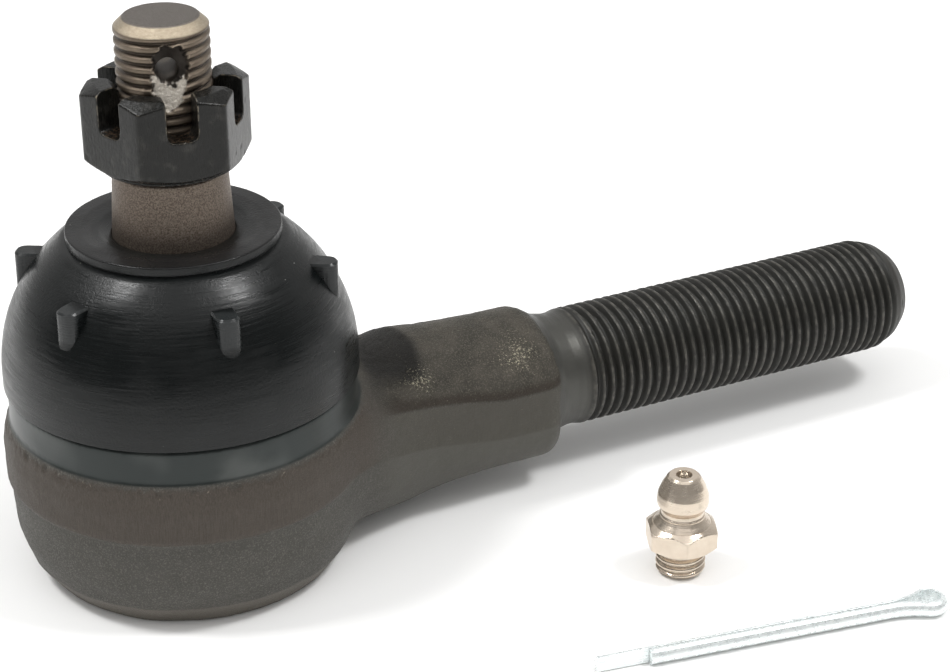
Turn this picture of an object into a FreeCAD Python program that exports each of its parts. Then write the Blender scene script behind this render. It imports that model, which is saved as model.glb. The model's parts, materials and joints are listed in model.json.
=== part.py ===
import FreeCAD, Part
import math
import os
import Sketcher

# Outer tie rod end with a tapered ball stud, dust boot, castle nut and threaded shank, together
# with the grease fitting and the cotter pin that come with it. Millimetres, +Z along the stud,
# +X along the shank, origin at the centre of the face that the socket stands on.

Vector = FreeCAD.Vector

DIMENSIONS = {
    # socket forging
    "base_radius": 18.5,
    "foot_radius": 20.1,
    "foot_height": 2.8,
    "belly_radius": 21.8,
    "band_radius": 22.3,
    "band_bottom": 13.2,
    "band_top": 20.0,
    "boss_radius": 21.3,
    "boss_bottom": 20.9,
    "boss_top": 25.2,
    "collar_radius": 16.8,
    "collar_top": 27.4,
    "socket_radius": 15.0,
    "cover_radius": 15.6,
    "cover_bottom": 1.5,
    "cover_top": 4.0,
    "race_drop": 2.0,
    "race_rise": 6.6,
    "lip_radius": 14.4,
    "grease_port_radius": 2.75,
    "pad_bottom": 5.1,
    "opening_radius": 9.9,
    "mouth_radius": 12.3,
    "edge_break": 0.4,
    # neck and threaded shank
    "shank_height": 12.4,
    "neck_rise": 9.8,
    "neck_crest_rise": 10.6,
    "neck_half_width": 9.8,
    "neck_flare": 3.8,
    "neck_root_depth": 11.2,
    "neck_side_height": 2.7,
    "neck_side_climb": 0.185,
    "neck_root_x": 17.0,
    "neck_crest_x": 29.0,
    "neck_body_x": 38.0,
    "neck_shoulder_x": 46.6,
    "neck_end_x": 49.2,
    "neck_shoulder_drop": 1.9,
    "relief_floor_radius": 26.4,
    "relief_radius": 29.8,
    "shank_radius": 7.94,
    "shank_core_radius": 7.15,
    "shank_plain_radius": 7.66,
    "thread_start_x": 54.7,
    "thread_lead": 1.2,
    "thread_pitch": 1.411,
    "thread_turns": 34,
    "shank_end_x": 106.8,
    "shank_tip_length": 4.4,
    "shank_tip_depth": 2.6,
    # ball joint
    "ball_height": 13.4,
    "ball_radius": 11.48,
    "ball_clearance": 0.07,
    "journal_radius": 6.0,
    "journal_clearance": 0.03,
    "journal_top": 8.4,
    "heel_radius": 6.4,
    "heel_edge_radius": 6.18,
    "flange_radius": 10.6,
    "flange_top": -0.55,
    # stud
    "stud_neck_radius": 5.9,
    "taper_bottom": 41.0,
    "taper_bottom_radius": 7.5,
    "taper_top": 52.0,
    "taper_top_radius": 6.8,
    "stud_thread_radius": 5.556,
    "stud_core_radius": 4.9,
    "stud_thread_pitch": 1.27,
    "stud_thread_turns": 12,
    "stud_thread_start": 54.6,
    "stud_top": 70.6,
    "stud_top_radius": 4.35,
    "stud_top_chamfer": 1.1,
    "cotter_hole_radius": 1.4,
    "cotter_hole_height": 65.5,
    # dust boot
    "boot_rim_radius": 21.7,
    "boot_rim_overhang": 0.4,
    "boot_rim_thickness": 0.6,
    "boot_seat": 25.25,
    "boot_rim_height": 25.4,
    "boot_dome_radius": 20.25,
    "boot_wall": 2.1,
    "boot_disc_radius": 12.9,
    "boot_disc_bottom": 43.3,
    "boot_top": 44.6,
    "boot_bore_radius": 7.46,
    "boot_ring_radius": 18.3,
    "boot_ring_bottom": 25.9,
    "boot_ring_top": 27.3,
    "boot_lug_width": 3.4,
    "boot_lug_reach": 20.3,
    "boot_lug_bottom": 33.0,
    "boot_lug_top": 40.4,
    # castle nut
    "nut_base": 52.7,
    "nut_across_flats": 17.6,
    "nut_height": 10.4,
    "nut_washer_radius": 8.3,
    "nut_washer_height": 0.5,
    "nut_bore_radius": 5.62,
    "nut_slot_width": 3.6,
    "nut_slot_depth": 5.0,
    "nut_slot_corner": 1.1,
    # grease fitting
    "fitting_x": 51.85,
    "fitting_y": -33.8,
    "fitting_thread_radius": 3.12,
    "fitting_thread_core": 2.7,
    "fitting_thread_pitch": 0.907,
    "fitting_thread_top": 3.0,
    "fitting_hex": 8.3,
    "fitting_hex_bottom": 3.8,
    "fitting_hex_top": 7.0,
    "fitting_shoulder_radius": 3.9,
    "fitting_waist_radius": 2.65,
    "fitting_waist_bottom": 8.0,
    "fitting_waist_top": 8.8,
    "fitting_head_radius": 3.25,
    "fitting_head_bottom": 9.9,
    "fitting_head_top": 10.6,
    "fitting_tip_radius": 1.8,
    "fitting_height": 13.6,
    "fitting_bore_radius": 1.35,
    "check_ball_radius": 1.15,
    "check_ball_height": 11.85,
    # cotter pin
    "pin_x": 68.3,
    "pin_y": -54.7,
    "pin_wire_radius": 1.05,
    "pin_long_leg": 37.5,
    "pin_short_leg": 31.0,
    "pin_eye_radius": 1.3,
    "pin_bend_radius": 12.0,
}

HOLE_AZIMUTH = -105.5      # direction the cotter hole faces, degrees from +X
NUT_AZIMUTH = 22.0         # direction of one slotted flat of the nut
LUG_AZIMUTH = 27.8         # direction of the first lug of the boot
PIN_AZIMUTH = -9.3         # direction in which the cotter pin's eye points
FITTING_AZIMUTH = 37.8     # direction in which the middle of one flat of the fitting faces

os.makedirs("parts", exist_ok=True)
doc = FreeCAD.newDocument("TieRodEnd")
sheet = doc.addObject("Spreadsheet::Sheet", "Sheet")
for row, (alias, value) in enumerate(DIMENSIONS.items(), start=1):
    sheet.set(f"A{row}", alias)
    sheet.set(f"B{row}", str(value))
    sheet.setAlias(f"B{row}", alias)
doc.recompute()


class Size:
    """A length or count together with the spreadsheet expression that gives it."""

    def __init__(self, value, text):
        self.value = value
        self.text = text

    def __add__(self, other):
        other = as_size(other)
        return Size(self.value + other.value, f"({self.text} + {other.text})")

    def __sub__(self, other):
        other = as_size(other)
        return Size(self.value - other.value, f"({self.text} - {other.text})")

    def __mul__(self, factor):
        factor = as_size(factor)
        return Size(self.value * factor.value, f"({self.text} * {factor.text})")

    def __truediv__(self, factor):
        factor = as_size(factor)
        return Size(self.value / factor.value, f"({self.text} / {factor.text})")

    def __neg__(self):
        return self * -1


def as_size(number):
    return number if isinstance(number, Size) else Size(float(number), f"{float(number):.6f}")


def dim(alias):
    return Size(DIMENSIONS[alias], "Sheet." + alias)


def leg(hypotenuse, other_leg):
    """The third side of a right triangle."""
    value = math.sqrt(hypotenuse.value ** 2 - other_leg.value ** 2)
    text = f"sqrt({hypotenuse.text} * {hypotenuse.text} - {other_leg.text} * {other_leg.text})"
    return Size(value, text)


def arc_to(x, y, radius, side):
    """An arc to (x, y); side is +1 when it bulges to the left of its direction, else -1."""
    return (x, y, radius, side)


# ---- sketch and feature helpers -------------------------------------------------------------

def origin_part(body, role):
    for feature in body.Origin.OriginFeatures:
        if feature.Role == role:
            return feature
    raise ValueError(role)


def new_body(label):
    body = doc.addObject("PartDesign::Body", label)
    body.Label = label
    return body


def new_sketch(body, name, plane, offset_axis=None, offset=None):
    sketch = body.newObject("Sketcher::SketchObject", name)
    sketch.AttachmentSupport = [(origin_part(body, plane), "")]
    sketch.MapMode = "FlatFace"
    if offset is not None:
        sketch.setExpression(f"AttachmentOffset.Base.{offset_axis}", offset.text)
    return sketch


def fix_point(sketch, geometry, end, x, y):
    """Places one end of a sketch element at a pair of sizes measured from the sketch origin."""
    for kind, axis, size in (("DistanceX", -2, x), ("DistanceY", -1, y)):
        if size.value == 0:
            sketch.addConstraint(Sketcher.Constraint("PointOnObject", geometry, end, axis))
            continue
        index = sketch.addConstraint(Sketcher.Constraint(kind, -1, 1, geometry, end, size.value))
        sketch.setExpression(f"Constraints[{index}]", size.text)


def draw_outline(sketch, points):
    """A closed outline of lines and arcs; each point is where the previous segment ends."""
    places = [(as_size(p[0]), as_size(p[1])) for p in points]
    ends = []
    for number, point in enumerate(points):
        start = Vector(places[number - 1][0].value, places[number - 1][1].value, 0)
        stop = Vector(places[number][0].value, places[number][1].value, 0)
        if len(point) == 2:
            sketch.addGeometry(Part.LineSegment(start, stop), False)
            ends.append((1, 2))
            continue
        radius, side = as_size(point[2]), point[3]
        chord = stop - start
        normal = Vector(-chord.y, chord.x, 0).normalize() * side
        depth = math.sqrt(radius.value ** 2 - (chord.Length / 2) ** 2)
        centre = (start + stop) * 0.5 - normal * depth
        first, last = (stop, start) if side > 0 else (start, stop)
        angles = [math.atan2(p.y - centre.y, p.x - centre.x) for p in (first, last)]
        circle = Part.Circle(centre, Vector(0, 0, 1), radius.value)
        sketch.addGeometry(Part.ArcOfCircle(circle, angles[0], angles[1]), False)
        ends.append((2, 1) if side > 0 else (1, 2))
    for number, (begin, end) in enumerate(ends):
        fix_point(sketch, number, end, *places[number])
        following = (number + 1) % len(ends)
        joint = Sketcher.Constraint("Coincident", number, end, following, ends[following][0])
        sketch.addConstraint(joint)
        if len(points[number]) == 4:
            radius = as_size(points[number][2])
            index = sketch.addConstraint(Sketcher.Constraint("Radius", number, radius.value))
            sketch.setExpression(f"Constraints[{index}]", radius.text)


def draw_circle(sketch, x, y, radius):
    x, y, radius = as_size(x), as_size(y), as_size(radius)
    centre = Vector(x.value, y.value, 0)
    number = sketch.addGeometry(Part.Circle(centre, Vector(0, 0, 1), radius.value), False)
    fix_point(sketch, number, 3, x, y)
    index = sketch.addConstraint(Sketcher.Constraint("Radius", number, radius.value))
    sketch.setExpression(f"Constraints[{index}]", radius.text)


def turned(body, name, points, kind="Revolution", axis="V_Axis", raise_by=None):
    """A full turn of an outline in the XZ plane, added to the body or cut from it."""
    sketch = new_sketch(body, name + "Outline", "XZ_Plane", "y", raise_by)
    draw_outline(sketch, points)
    feature = body.newObject("PartDesign::" + kind, name)
    feature.Profile = sketch
    feature.ReferenceAxis = (sketch, [axis])
    feature.Angle = 360
    return feature, sketch


def padded(body, name, sketch, length, both_ways=False, kind="Pad"):
    feature = body.newObject("PartDesign::" + kind, name)
    feature.Profile = sketch
    feature.setExpression("Length", as_size(length).text)
    feature.Midplane = both_ways
    return feature


def along(body, name, original, sketch, axis, length, count):
    pattern = body.newObject("PartDesign::LinearPattern", name)
    pattern.Originals = [original]
    pattern.Direction = (sketch, [axis])
    pattern.setExpression("Length", length.text)
    pattern.setExpression("Occurrences", count.text)
    body.Tip = pattern
    return pattern


def around(body, name, original, angle, count):
    pattern = body.newObject("PartDesign::PolarPattern", name)
    pattern.Originals = [original]
    pattern.Axis = (origin_part(body, "Z_Axis"), [""])
    pattern.Angle = angle
    pattern.Occurrences = count
    body.Tip = pattern
    return pattern


def hexagon(across_flats):
    """Six corners with the middle of one flat on +X."""
    corner = across_flats / math.sqrt(3)
    angles = [math.radians(30 + 60 * step) for step in range(6)]
    return [(corner * math.cos(a), corner * math.sin(a)) for a in angles]


def place(part, x=0, y=0, z=0, azimuth=0):
    """Puts a sub-part at sizes from the sheet, turned about Z."""
    spot = Vector(as_size(x).value, as_size(y).value, as_size(z).value)
    part.Placement = FreeCAD.Placement(spot, FreeCAD.Rotation(Vector(0, 0, 1), azimuth))
    for axis, size in (("x", x), ("y", y), ("z", z)):
        if isinstance(size, Size):
            part.setExpression("Placement.Base." + axis, size.text)


# ---- socket -------------------------------------------------------------------------------

def make_housing():
    """The forging: socket, neck and threaded shank in one piece."""
    body = new_body("housing")
    race_top = dim("ball_height") + dim("race_rise")
    edge = dim("edge_break")
    side_curve = 60
    turned(body, "Socket", [
        (dim("lip_radius"), 0),
        (dim("base_radius"), 0),
        (dim("foot_radius"), dim("foot_height")),
        arc_to(dim("belly_radius"), dim("band_bottom"), side_curve, -1),
        (dim("band_radius"), dim("band_bottom") + edge),
        (dim("band_radius"), dim("band_top") - edge),
        (dim("band_radius") - edge, dim("band_top")),
        (dim("band_radius") - edge, dim("boss_bottom") - edge),
        (dim("boss_radius"), dim("boss_bottom")),
        (dim("boss_radius"), dim("boss_top") - edge),
        (dim("boss_radius") - edge, dim("boss_top")),
        (dim("collar_radius"), dim("boss_top")),
        (dim("collar_radius"), dim("collar_top") - edge),
        (dim("collar_radius") - edge, dim("collar_top")),
        (dim("mouth_radius"), dim("collar_top")),
        (dim("opening_radius"), race_top),
        (dim("socket_radius"), race_top),
        (dim("socket_radius"), dim("cover_top")),
        (dim("cover_radius"), dim("cover_top")),
        (dim("cover_radius"), dim("cover_bottom")),
        (dim("lip_radius"), dim("cover_bottom")),
    ])
    add_neck(body)
    add_shank(body)
    return body


def add_shank(body):
    """The plain and the threaded length of the shank, with its rounded tip as a long chamfer."""
    shank, plain, core = dim("shank_radius"), dim("shank_plain_radius"), dim("shank_core_radius")
    start, end = dim("thread_start_x"), dim("shank_end_x")
    lead, pitch = dim("thread_lead"), dim("thread_pitch")
    turned(body, "Shank", [
        (dim("neck_body_x"), 0),
        (dim("neck_body_x"), plain),
        (start - lead * 1.5, plain),
        (start - lead, shank),
        (end - dim("shank_tip_length"), shank),
        (end, shank - dim("shank_tip_depth")),
        (end, 0),
    ], axis="H_Axis", raise_by=dim("shank_height"))
    half_mouth, half_root, above = pitch * 0.42, 0.1, shank + 0.2
    groove, outline = turned(body, "ThreadGroove", [
        (start - half_mouth, above),
        (start - half_mouth, shank),
        (start - half_root, core),
        (start + half_root, core),
        (start + half_mouth, shank),
        (start + half_mouth, above),
    ], kind="Groove", axis="H_Axis", raise_by=dim("shank_height"))
    turns = dim("thread_turns")
    along(body, "Thread", groove, outline, "H_Axis", pitch * (turns - 1), turns)


def add_neck(body):
    """The neck, from inside the socket to a rounded shoulder round the shank, relieved round
    the boss by a turned cut. Its upright sides climb from the shank to the socket's band."""
    half_width, rise, side = dim("neck_half_width"), dim("neck_rise"), dim("neck_side_height")
    drop = dim("neck_shoulder_drop")
    sections = [
        ("Root", dim("neck_root_x"), half_width + dim("neck_flare"), rise, dim("neck_root_depth")),
        ("Crest", dim("neck_crest_x"), half_width, dim("neck_crest_rise"), rise),
        ("Body", dim("neck_body_x"), half_width, rise, rise),
        ("Shoulder", dim("neck_shoulder_x"), half_width, rise, rise),
        ("End", dim("neck_end_x"), half_width - drop, rise - drop, rise - drop),
    ]
    sketches = []
    for name, distance, width, height, depth in sections:
        sketch = new_sketch(body, "Neck" + name, "YZ_Plane", "z", distance)
        climb = (dim("neck_body_x") - distance) * dim("neck_side_climb")
        if climb.value < 0:
            climb = as_size(0)
        draw_neck_section(sketch, width, height, depth, climb + side, climb - side)
        sketches.append(sketch)
    neck = body.newObject("PartDesign::AdditiveLoft", "Neck")
    neck.Profile = sketches[0]
    neck.Sections = sketches[1:]
    neck.Ruled = True
    above = dim("boss_top")
    turned(body, "NeckRelief", [
        (dim("boss_radius"), dim("boss_bottom")),
        (dim("relief_floor_radius"), dim("boss_bottom")),
        (dim("relief_radius"), dim("shank_height") + dim("neck_crest_rise")),
        (dim("relief_radius"), above),
        (dim("boss_radius"), above),
    ], kind="Groove")


def draw_neck_section(sketch, half_width, height, depth, side_top, side_bottom):
    """Rounded top and bottom between two upright flats where the forging flash was trimmed."""
    middle = dim("shank_height")
    crown, keel = height - side_top, depth + side_bottom
    draw_outline(sketch, [
        (half_width, middle + side_top),
        arc_to(-half_width, middle + side_top, arc_radius(half_width, crown), -1),
        (-half_width, middle + side_bottom),
        arc_to(half_width, middle + side_bottom, arc_radius(half_width, keel), -1),
    ])


def arc_radius(half_chord, rise):
    """The radius of an arc that rises that much over its chord."""
    return (half_chord * half_chord + rise * rise) / (rise * 2)


def make_cover_plate():
    """The pressed disc that closes the socket from below, tapped for the grease fitting."""
    body = new_body("cover_plate")
    bottom, top = dim("cover_bottom"), dim("cover_top")
    port = dim("grease_port_radius")
    land, slope, dish, rim = 3.2, 0.7, 0.4, 0.6
    turned(body, "Plate", [
        (port, bottom - rim),
        (port + land, bottom - rim),
        (port + land + slope, bottom + dish),
        (dim("lip_radius") - rim - 1.0, bottom + dish),
        (dim("lip_radius") - rim, bottom),
        (dim("cover_radius"), bottom),
        (dim("cover_radius"), top),
        (port, top),
    ])
    return body


def make_preload_spring():
    """A coned disc spring that keeps the pad pressed against the stud."""
    body = new_body("preload_spring")
    low, high = dim("cover_top"), dim("pad_bottom")
    outer, inner = as_size(14.2), as_size(7.0)
    thickness, edge = 0.7, 0.1
    turned(body, "Cone", [
        (outer - thickness, low),
        (outer, low + edge),
        (outer, low + thickness),
        (inner + thickness, high),
        (inner, high - edge),
        (inner, high - thickness),
    ])
    return body


def make_pressure_pad():
    """The lower seat: a shallow cup under the stud's heel, drilled for grease."""
    body = new_body("pressure_pad")
    centre = dim("ball_height")
    cup = dim("heel_radius") + dim("ball_clearance")
    outside = dim("socket_radius") - 0.1
    hole, cup_edge, rim = as_size(1.5), as_size(5.1), as_size(9.6)
    rim_drop, outside_drop = 5.6, 5.9
    turned(body, "Pad", [
        (hole, dim("pad_bottom")),
        (outside, dim("pad_bottom")),
        (outside, centre - outside_drop),
        (rim, centre - rim_drop),
        (cup_edge + 0.2, centre - leg(cup, cup_edge)),
        (cup_edge, centre - leg(cup, cup_edge)),
        arc_to(hole, centre - leg(cup, hole), cup, 1),
    ])
    return body


def make_bearing_race():
    """The upper race: a pressed ring whose inside is the socket's sphere."""
    body = new_body("bearing_race")
    centre = dim("ball_height")
    sphere = dim("ball_radius") + dim("ball_clearance")
    low, high = dim("race_drop"), dim("race_rise")
    turned(body, "Race", [
        (dim("socket_radius"), centre - low),
        (dim("socket_radius"), centre + high),
        (leg(sphere, high), centre + high),
        arc_to(leg(sphere, low), centre - low, sphere, 1),
    ])
    return body


def make_half_ball():
    """The half ball that rocks in the race while the stud turns inside it."""
    body = new_body("half_ball_bearing")
    centre = dim("ball_height")
    low, high = as_size(0.5), as_size(8.0)
    bore = dim("journal_radius") + dim("journal_clearance")
    turned(body, "HalfBall", [
        (bore, centre - low),
        (leg(dim("ball_radius"), low), centre - low),
        arc_to(leg(dim("ball_radius"), high), centre + high, dim("ball_radius"), -1),
        (bore, centre + high),
    ])
    return body


# ---- stud and nut ---------------------------------------------------------------------------

def make_ball_stud():
    """Heel, flange, journal, neck, taper and thread, with a cross hole for the cotter pin."""
    body = new_body("ball_stud")
    centre = dim("ball_height")
    heel, heel_edge = dim("heel_radius"), dim("heel_edge_radius")
    flange_top, journal_top = centre + dim("flange_top"), centre + dim("journal_top")
    taper_bottom = dim("taper_bottom_radius")
    thread, core, start = dim("stud_thread_radius"), dim("stud_core_radius"), dim("stud_thread_start")
    neck_cone, slope, edge = 4.5, 0.6, 0.2
    turned(body, "Turning", [
        (0, centre - heel),
        arc_to(heel_edge, centre - leg(heel, heel_edge), heel, -1),
        (dim("flange_radius"), centre - leg(heel, heel_edge)),
        (dim("flange_radius"), flange_top),
        (dim("journal_radius"), flange_top),
        (dim("journal_radius"), journal_top),
        (dim("stud_neck_radius"), journal_top + edge),
        (dim("stud_neck_radius"), dim("taper_bottom") - neck_cone),
        (taper_bottom, dim("taper_bottom") - edge * 2),
        (taper_bottom, dim("taper_bottom")),
        (dim("taper_top_radius"), dim("taper_top")),
        (core, dim("taper_top") + slope),
        (core, start - slope),
        (thread, start),
        (thread, dim("stud_top") - dim("stud_top_chamfer")),
        (dim("stud_top_radius"), dim("stud_top")),
        (0, dim("stud_top")),
    ])
    pitch = dim("stud_thread_pitch")
    half_mouth, half_root, root = pitch * 0.4, 0.15, core + 0.1
    first, outside = start + 0.8, thread + 0.2
    groove, outline = turned(body, "ThreadGroove", [
        (outside, first - half_mouth),
        (outside, first + half_mouth),
        (thread, first + half_mouth),
        (root, first + half_root),
        (root, first - half_root),
        (thread, first - half_mouth),
    ], kind="Groove")
    turns = dim("stud_thread_turns")
    along(body, "Thread", groove, outline, "V_Axis", pitch * (turns - 1), turns)
    hole = new_sketch(body, "CotterHoleOutline", "XZ_Plane")
    draw_circle(hole, 0, dim("cotter_hole_height"), dim("cotter_hole_radius"))
    padded(body, "CotterHole", hole, thread * 2 + 2, both_ways=True, kind="Pocket")
    place(body, azimuth=HOLE_AZIMUTH + 90)
    return body


def make_castle_nut():
    """A hexagon nut with six slots, bored just clear of the stud's thread."""
    body = new_body("castle_nut")
    across, height = dim("nut_across_flats"), dim("nut_height")
    flat, corner = across / 2, across / math.sqrt(3)
    washer = dim("nut_washer_height")
    blank = new_sketch(body, "HexagonOutline", "XY_Plane", "z", washer)
    draw_outline(blank, hexagon(across))
    padded(body, "Hexagon", blank, height - washer)
    overlap = 0.1
    face = new_sketch(body, "WasherFaceOutline", "XY_Plane")
    draw_circle(face, 0, 0, dim("nut_washer_radius"))
    padded(body, "WasherFace", face, washer + overlap)
    beyond, past, crown, steep = corner + 1, 0.01, 0.5, 1.6
    turned(body, "TopChamfer", [
        (flat - crown, height + past),
        (beyond, height + past),
        (beyond, height - steep),
        (flat + overlap, height - crown),
    ], kind="Groove")
    turned(body, "BottomChamfer", [
        (flat - crown / 2, washer - past),
        (beyond, washer - past),
        (beyond, washer + steep * 0.8),
    ], kind="Groove")
    bore, low_cone, top_cone = dim("nut_bore_radius"), 0.6, 0.5
    turned(body, "Bore", [
        (0, -1),
        (bore + low_cone + 1, -1),
        (bore, low_cone),
        (bore, height - top_cone),
        (bore + top_cone * 2, height + top_cone),
        (0, height + top_cone),
    ], kind="Groove")
    half_slot, round_corner = dim("nut_slot_width") / 2, dim("nut_slot_corner")
    floor = height - dim("nut_slot_depth")
    slot = new_sketch(body, "SlotOutline", "YZ_Plane")
    draw_outline(slot, [
        (half_slot, height + 1),
        (-half_slot, height + 1),
        (-half_slot, floor + round_corner),
        arc_to(-half_slot + round_corner, floor, round_corner, -1),
        (half_slot - round_corner, floor),
        arc_to(half_slot, floor + round_corner, round_corner, -1),
    ])
    pocket = padded(body, "Slot", slot, corner * 2 + 4, both_ways=True, kind="Pocket")
    around(body, "Slots", pocket, 120, 3)
    place(body, z=dim("nut_base"), azimuth=NUT_AZIMUTH)
    return body


# ---- dust boot --------------------------------------------------------------------------------

def make_dust_boot():
    """A moulded dome with six round-nosed lugs, a flat disc at the stud and a sharp lower rim."""
    body = new_body("dust_boot")
    rim, disc, seat = dim("boot_rim_radius"), dim("boot_disc_radius"), dim("boot_seat")
    disc_step = 0.4
    turned(body, "Dome", [
        (0, seat),
        (rim - dim("boot_rim_overhang"), seat),
        (rim - dim("boot_rim_overhang"), dim("boot_rim_height")),
        (rim, dim("boot_rim_height")),
        (rim, dim("boot_rim_height") + dim("boot_rim_thickness")),
        arc_to(disc + disc_step, dim("boot_disc_bottom"), dim("boot_dome_radius"), -1),
        (disc, dim("boot_disc_bottom")),
        (disc, dim("boot_top")),
        (0, dim("boot_top")),
    ])
    lug = new_sketch(body, "LugOutline", "XY_Plane", "z", dim("boot_lug_bottom"))
    nose, reach = dim("boot_lug_width") / 2, dim("boot_lug_reach")
    draw_outline(lug, [
        (disc, -nose),
        (reach - nose, -nose),
        arc_to(reach, 0, nose, -1),
        arc_to(reach - nose, nose, nose, -1),
        (disc, nose),
    ])
    pad = padded(body, "Lug", lug, dim("boot_lug_top") - dim("boot_lug_bottom"))
    around(body, "Lugs", pad, 360, 6)
    bore, wall = dim("boot_bore_radius"), dim("boot_wall")
    collar = boot_collar()
    lip_top, shelf, throat = seat + 3.3, 0.6, 10.0
    turned(body, "Cavity", [
        (0, seat - 1),
        (collar, seat - 1),
        (collar, lip_top),
        (rim - wall - 0.2, lip_top + shelf),
        arc_to(throat, dim("boot_disc_bottom") - wall, dim("boot_dome_radius") - wall, -1),
        (bore, dim("boot_disc_bottom") - shelf),
        (bore, dim("boot_top") + 1),
        (0, dim("boot_top") + 1),
    ], kind="Groove")
    turned(body, "RingGroove", ring_outline(collar - 0.1), kind="Groove")
    place(body, azimuth=LUG_AZIMUTH)
    return body


def boot_collar():
    """The boot's lower bore, a running fit over the socket's collar."""
    return dim("collar_radius") + 0.05


def ring_outline(inside):
    ring, bottom, top = dim("boot_ring_radius"), dim("boot_ring_bottom"), dim("boot_ring_top")
    return [(inside, bottom), (ring, bottom), (ring, top), (inside, top)]


def make_boot_ring():
    """The steel ring moulded into the boot's lower lip, which grips the socket's collar."""
    body = new_body("boot_insert_ring")
    turned(body, "Ring", ring_outline(boot_collar()))
    return body


# ---- loose pieces: grease fitting and cotter pin -------------------------------------------------

def make_fitting_body():
    """A straight grease fitting: tapped end, hexagon, waist and coupling head."""
    body = new_body("grease_fitting_body")
    thread, core, height = dim("fitting_thread_radius"), dim("fitting_thread_core"), dim("fitting_height")
    thread_top, pitch = dim("fitting_thread_top"), dim("fitting_thread_pitch")
    low, high = dim("fitting_hex_bottom"), dim("fitting_hex_top")
    flat, corner = dim("fitting_hex") / 2, dim("fitting_hex") / math.sqrt(3)
    shoulder, waist, head = (dim("fitting_shoulder_radius"), dim("fitting_waist_radius"),
                             dim("fitting_head_radius"))
    edge, past, head_curve = 0.4, 0.01, 5.0
    turned(body, "Turning", [
        (0, 0),
        (thread - edge, 0),
        (thread, edge),
        (thread, thread_top),
        (core, thread_top + edge),
        (core, low),
        (shoulder, low),
        (shoulder, high - edge),
        (waist, dim("fitting_waist_bottom")),
        (waist, dim("fitting_waist_top")),
        (head, dim("fitting_head_bottom")),
        (head, dim("fitting_head_top")),
        arc_to(dim("fitting_tip_radius"), height, head_curve, -1),
        (0, height),
    ])
    blank = new_sketch(body, "HexagonOutline", "XY_Plane", "z", low)
    draw_outline(blank, hexagon(dim("fitting_hex")))
    padded(body, "Hexagon", blank, high - low)
    turned(body, "TopChamfer", [
        (flat - edge, high + past),
        (corner + 1, high + past),
        (corner + 1, high - edge * 3.5),
    ], kind="Groove")
    turned(body, "BottomChamfer", [
        (flat, low - past),
        (corner + 1, low - past),
        (corner + 1, low + edge * 2),
    ], kind="Groove")
    bore, drill, mouth = dim("fitting_bore_radius"), as_size(0.85), as_size(0.95)
    ball_seat, mouth_depth, spring_seat = height - 1.7, 1.0, 1.0
    turned(body, "Passage", [
        (0, -1),
        (drill, -1),
        (drill, spring_seat),
        (bore, spring_seat),
        (bore, ball_seat),
        (mouth, height - mouth_depth),
        (mouth, height + 1),
        (0, height + 1),
    ], kind="Groove")
    first, half_mouth, half_root = as_size(1.05), 0.3, 0.05
    groove, outline = turned(body, "ThreadGroove", [
        (thread + 0.2, first - half_mouth),
        (thread + 0.2, first + half_mouth),
        (core, first + half_root),
        (core, first - half_root),
    ], kind="Groove")
    along(body, "Thread", groove, outline, "V_Axis", pitch * 2, as_size(3))
    place(body, dim("fitting_x"), dim("fitting_y"), azimuth=FITTING_AZIMUTH)
    return body


def make_check_ball():
    """The ball that closes the grease fitting."""
    ball = doc.addObject("Part::Sphere", "grease_check_ball")
    ball.Label = "grease_check_ball"
    radius = dim("check_ball_radius")
    ball.setExpression("Radius", radius.text)
    place(ball, dim("fitting_x"), dim("fitting_y"), dim("check_ball_height"))
    return ball


def make_check_spring():
    """The coil spring under the check ball."""
    wire_radius, coil_radius = 0.16, 0.85
    low = 1.0 + wire_radius
    high = DIMENSIONS["check_ball_height"] - DIMENSIONS["check_ball_radius"] - wire_radius + 0.1
    turns = 8
    helix = Part.makeHelix((high - low) / turns, high - low, coil_radius)
    wire = Part.Wire(Part.makeCircle(wire_radius, Vector(coil_radius, 0, 0), Vector(0, 1, 0.2)))
    coil = Part.Wire(helix).makePipeShell([wire], True, True)
    spring = doc.addObject("Part::Feature", "grease_check_spring")
    spring.Label = "grease_check_spring"
    spring.Shape = coil
    place(spring, dim("fitting_x"), dim("fitting_y"), as_size(low))
    return spring


def make_cotter_pin():
    """Half-round wire folded into two unequal legs and an open eye, lying flat."""
    wire = DIMENSIONS["pin_wire_radius"]
    eye, bend = DIMENSIONS["pin_eye_radius"], DIMENSIONS["pin_bend_radius"]
    gap = 0.06
    bend_centre = Vector(0, gap + bend, 0)
    eye_centre = Vector(math.sqrt((eye + bend) ** 2 - (gap + bend) ** 2), 0, 0)
    reach = (eye_centre - bend_centre).normalize()
    touch = bend_centre + reach * bend
    middle = (Vector(0, -1, 0) + reach).normalize()

    def mirrored(point):
        return Vector(point.x, -point.y, point.z)

    leg_start = Vector(-DIMENSIONS["pin_long_leg"], gap, 0)
    leg_end = Vector(-DIMENSIONS["pin_short_leg"], -gap, 0)
    neck = Vector(0, gap, 0)
    bend_middle = bend_centre + middle * bend
    path = Part.Wire([
        Part.LineSegment(leg_start, neck).toShape(),
        Part.Arc(neck, bend_middle, touch).toShape(),
        Part.Arc(touch, eye_centre + Vector(eye, 0, 0), mirrored(touch)).toShape(),
        Part.Arc(mirrored(touch), mirrored(bend_middle), mirrored(neck)).toShape(),
        Part.LineSegment(mirrored(neck), leg_end).toShape(),
    ])
    low, high = leg_start + Vector(0, 0, -wire), leg_start + Vector(0, 0, wire)
    crown = leg_start + Vector(0, wire, 0)
    section = Part.Wire([
        Part.Arc(low, crown, high).toShape(),
        Part.LineSegment(high, low).toShape(),
    ])
    pin = doc.addObject("Part::Feature", "cotter_pin")
    pin.Label = "cotter_pin"
    pin.Shape = path.makePipeShell([section], True, False)
    place(pin, dim("pin_x"), dim("pin_y"), dim("pin_wire_radius"), PIN_AZIMUTH)
    return pin


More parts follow.
